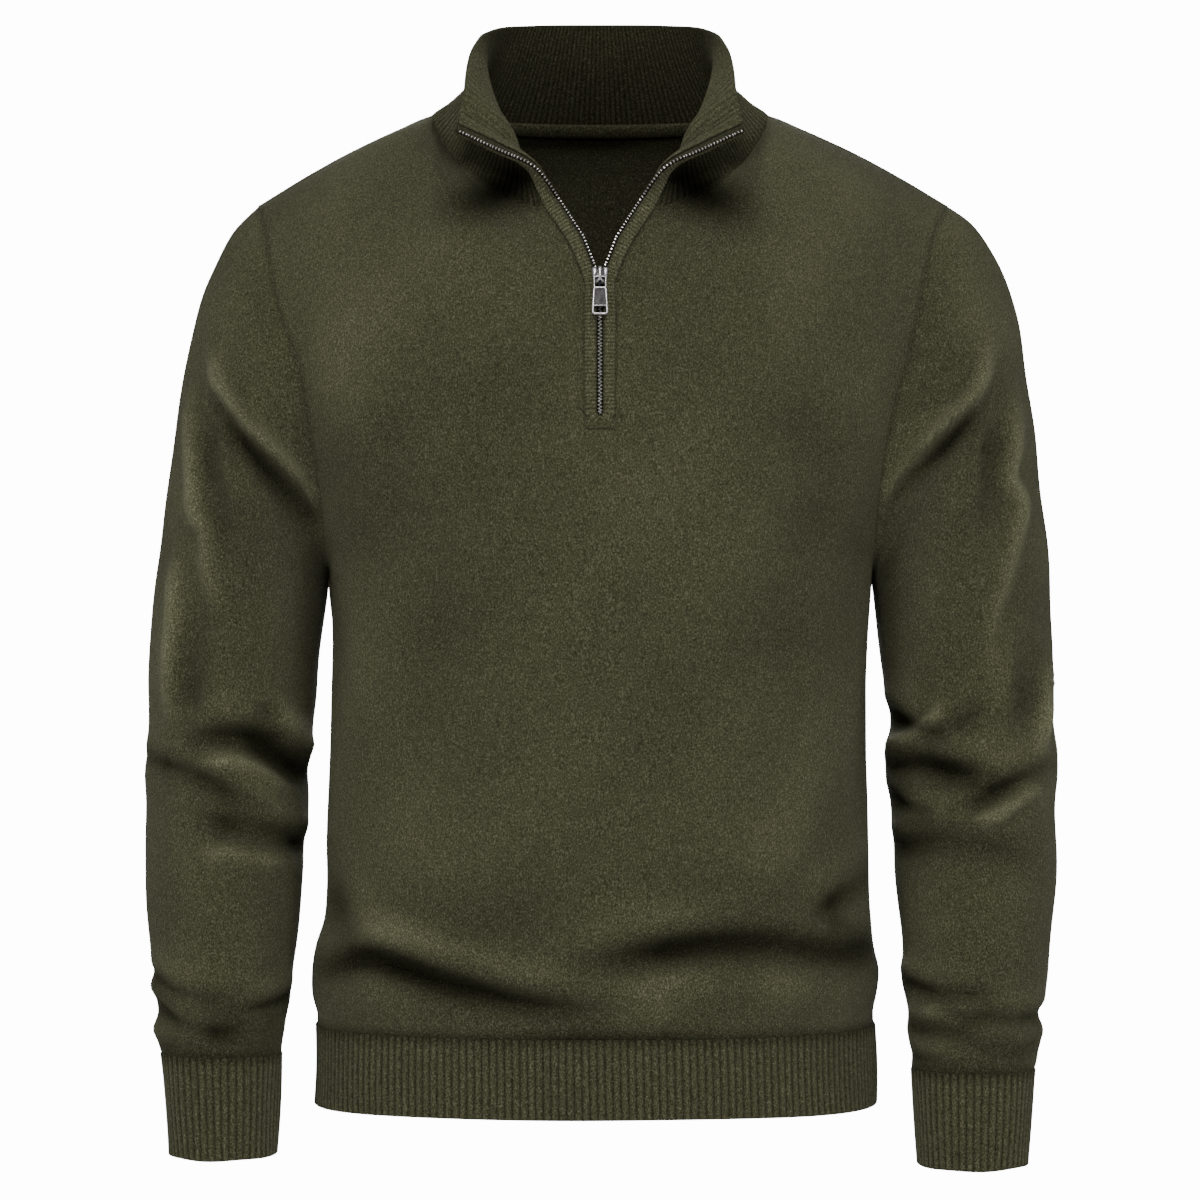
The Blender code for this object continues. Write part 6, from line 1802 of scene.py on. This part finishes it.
class SWEATER_OT_seams(bpy.types.Operator):
    """Linked seams at the neck, armholes and shoulders"""

    bl_idname = "sweater.seams"
    bl_label = "Seams"
    bl_options = {"REGISTER", "UNDO"}

    def execute(self, context):
        """Builds each seam as raised lines of stitches."""
        halves, _ = fine_front()
        base = fine_collar()[0]
        neck_normals = grid_normals(base)[0]
        front_normals = [grid_normals(half) for half in halves]
        back = fine_back()
        back_normals = grid_normals(back)
        span = slice(STRIP_PARTS + 2, -STRIP_PARTS - 2)
        neck_up = unit(neck_normals[span] + (0, 0, 0.25))
        self.line("neck_linking", base[0, span], neck_up, NECK_LINES, NECK_STITCH)
        for side, name in SIDES:
            half, normals = (halves[1], front_normals[1]) if side > 0 else (halves[0], front_normals[0])
            column, back_column = (-1, 0) if side > 0 else (0, -1)
            underarm = int(np.searchsorted(half[:, column, 2], UNDERARM))
            front_edge, front_up = half[underarm:, column], normals[underarm:, column]
            back_edge, back_up = back[underarm:, back_column], back_normals[underarm:, back_column]
            ring = np.concatenate([front_edge, back_edge[-2::-1]])
            up = np.concatenate([front_up, back_up[-2::-1]])
            up = unit(up + (side * 0.8, 0.0, 0.35))
            self.line("armhole_linking_" + name, ring[2:-2], up[2:-2], (0.0,), ARMHOLE_STITCH)
            columns = slice(MIDDLE + 1 + NECK_COLUMN, None) if side > 0 else slice(MIDDLE - NECK_COLUMN + 1)
            top = coarse_front()[-1, columns]
            shoulder = at_places(top, np.linspace(0, len(top) - 1, 60))
            shoulder_up = np.tile([side * 0.25, 0.0, 1.0], (len(shoulder), 1))
            self.line("shoulder_linking_" + name, shoulder, shoulder_up, (0.0,), SHOULDER_STITCH)
        return {"FINISHED"}

    def line(self, name, points, normals, offsets, radius):
        """One piece for the lines of a seam."""
        seam = ClothMesh()
        for number, offset in enumerate(offsets):
            tube = seam_tube(points, normals, offset, radius, LINK_STITCH, number / 2)
            # the stitches also take the painted shadow under the collar corners
            seam.skin(seam.add(tube, knit_uv(tube, 0), LINK_TONE * collar_corner_shadow(tube)))
        seam.build(name, rib_material(), "rib")


class SWEATER_OT_cuts(bpy.types.Operator):
    """Does nothing: its execute states no flat cuts"""

    bl_idname = "sweater.cuts"
    bl_label = "Flat cuts"
    bl_options = {"REGISTER", "UNDO"}

    def execute(self, context):
        return {"FINISHED"}


# ---------------------------------------------------------------- panel and run
OPERATORS = (
    SWEATER_OT_panels,
    SWEATER_OT_sleeves,
    SWEATER_OT_rib_bands,
    SWEATER_OT_collar,
    SWEATER_OT_zip_trims,
    SWEATER_OT_zip_teeth,
    SWEATER_OT_zip_metal,
    SWEATER_OT_seams,
    SWEATER_OT_cuts,
    SWEATER_OT_stage,
)


class SWEATER_PT_panel(bpy.types.Panel):
    """Lists the sweater's settings and pieces."""

    bl_idname = "SWEATER_PT_panel"
    bl_label = "Quarter-zip sweater"
    bl_space_type = "VIEW_3D"
    bl_region_type = "UI"
    bl_category = "Sweater"

    def draw(self, context):
        """Draws the settings and a button for each operator."""
        settings = context.scene.sweater
        for name in SweaterSettings.__annotations__:
            self.layout.prop(settings, name)
        for operator in OPERATORS:
            self.layout.operator(operator.bl_idname)


CLASSES = (SweaterSettings,) + OPERATORS + (SWEATER_PT_panel,)


def register():
    """Registers the classes and the settings."""
    for cls in CLASSES:
        bpy.utils.register_class(cls)
    bpy.types.Scene.sweater = PointerProperty(type=SweaterSettings)


def unregister():
    """Removes the settings and the classes."""
    del bpy.types.Scene.sweater
    for cls in reversed(CLASSES):
        bpy.utils.unregister_class(cls)


def main():
    """Makes every piece."""
    register()
    for operator in OPERATORS:
        group, name = operator.bl_idname.split(".")
        getattr(getattr(bpy.ops, group), name)()


if __name__ == "__main__":
    main()
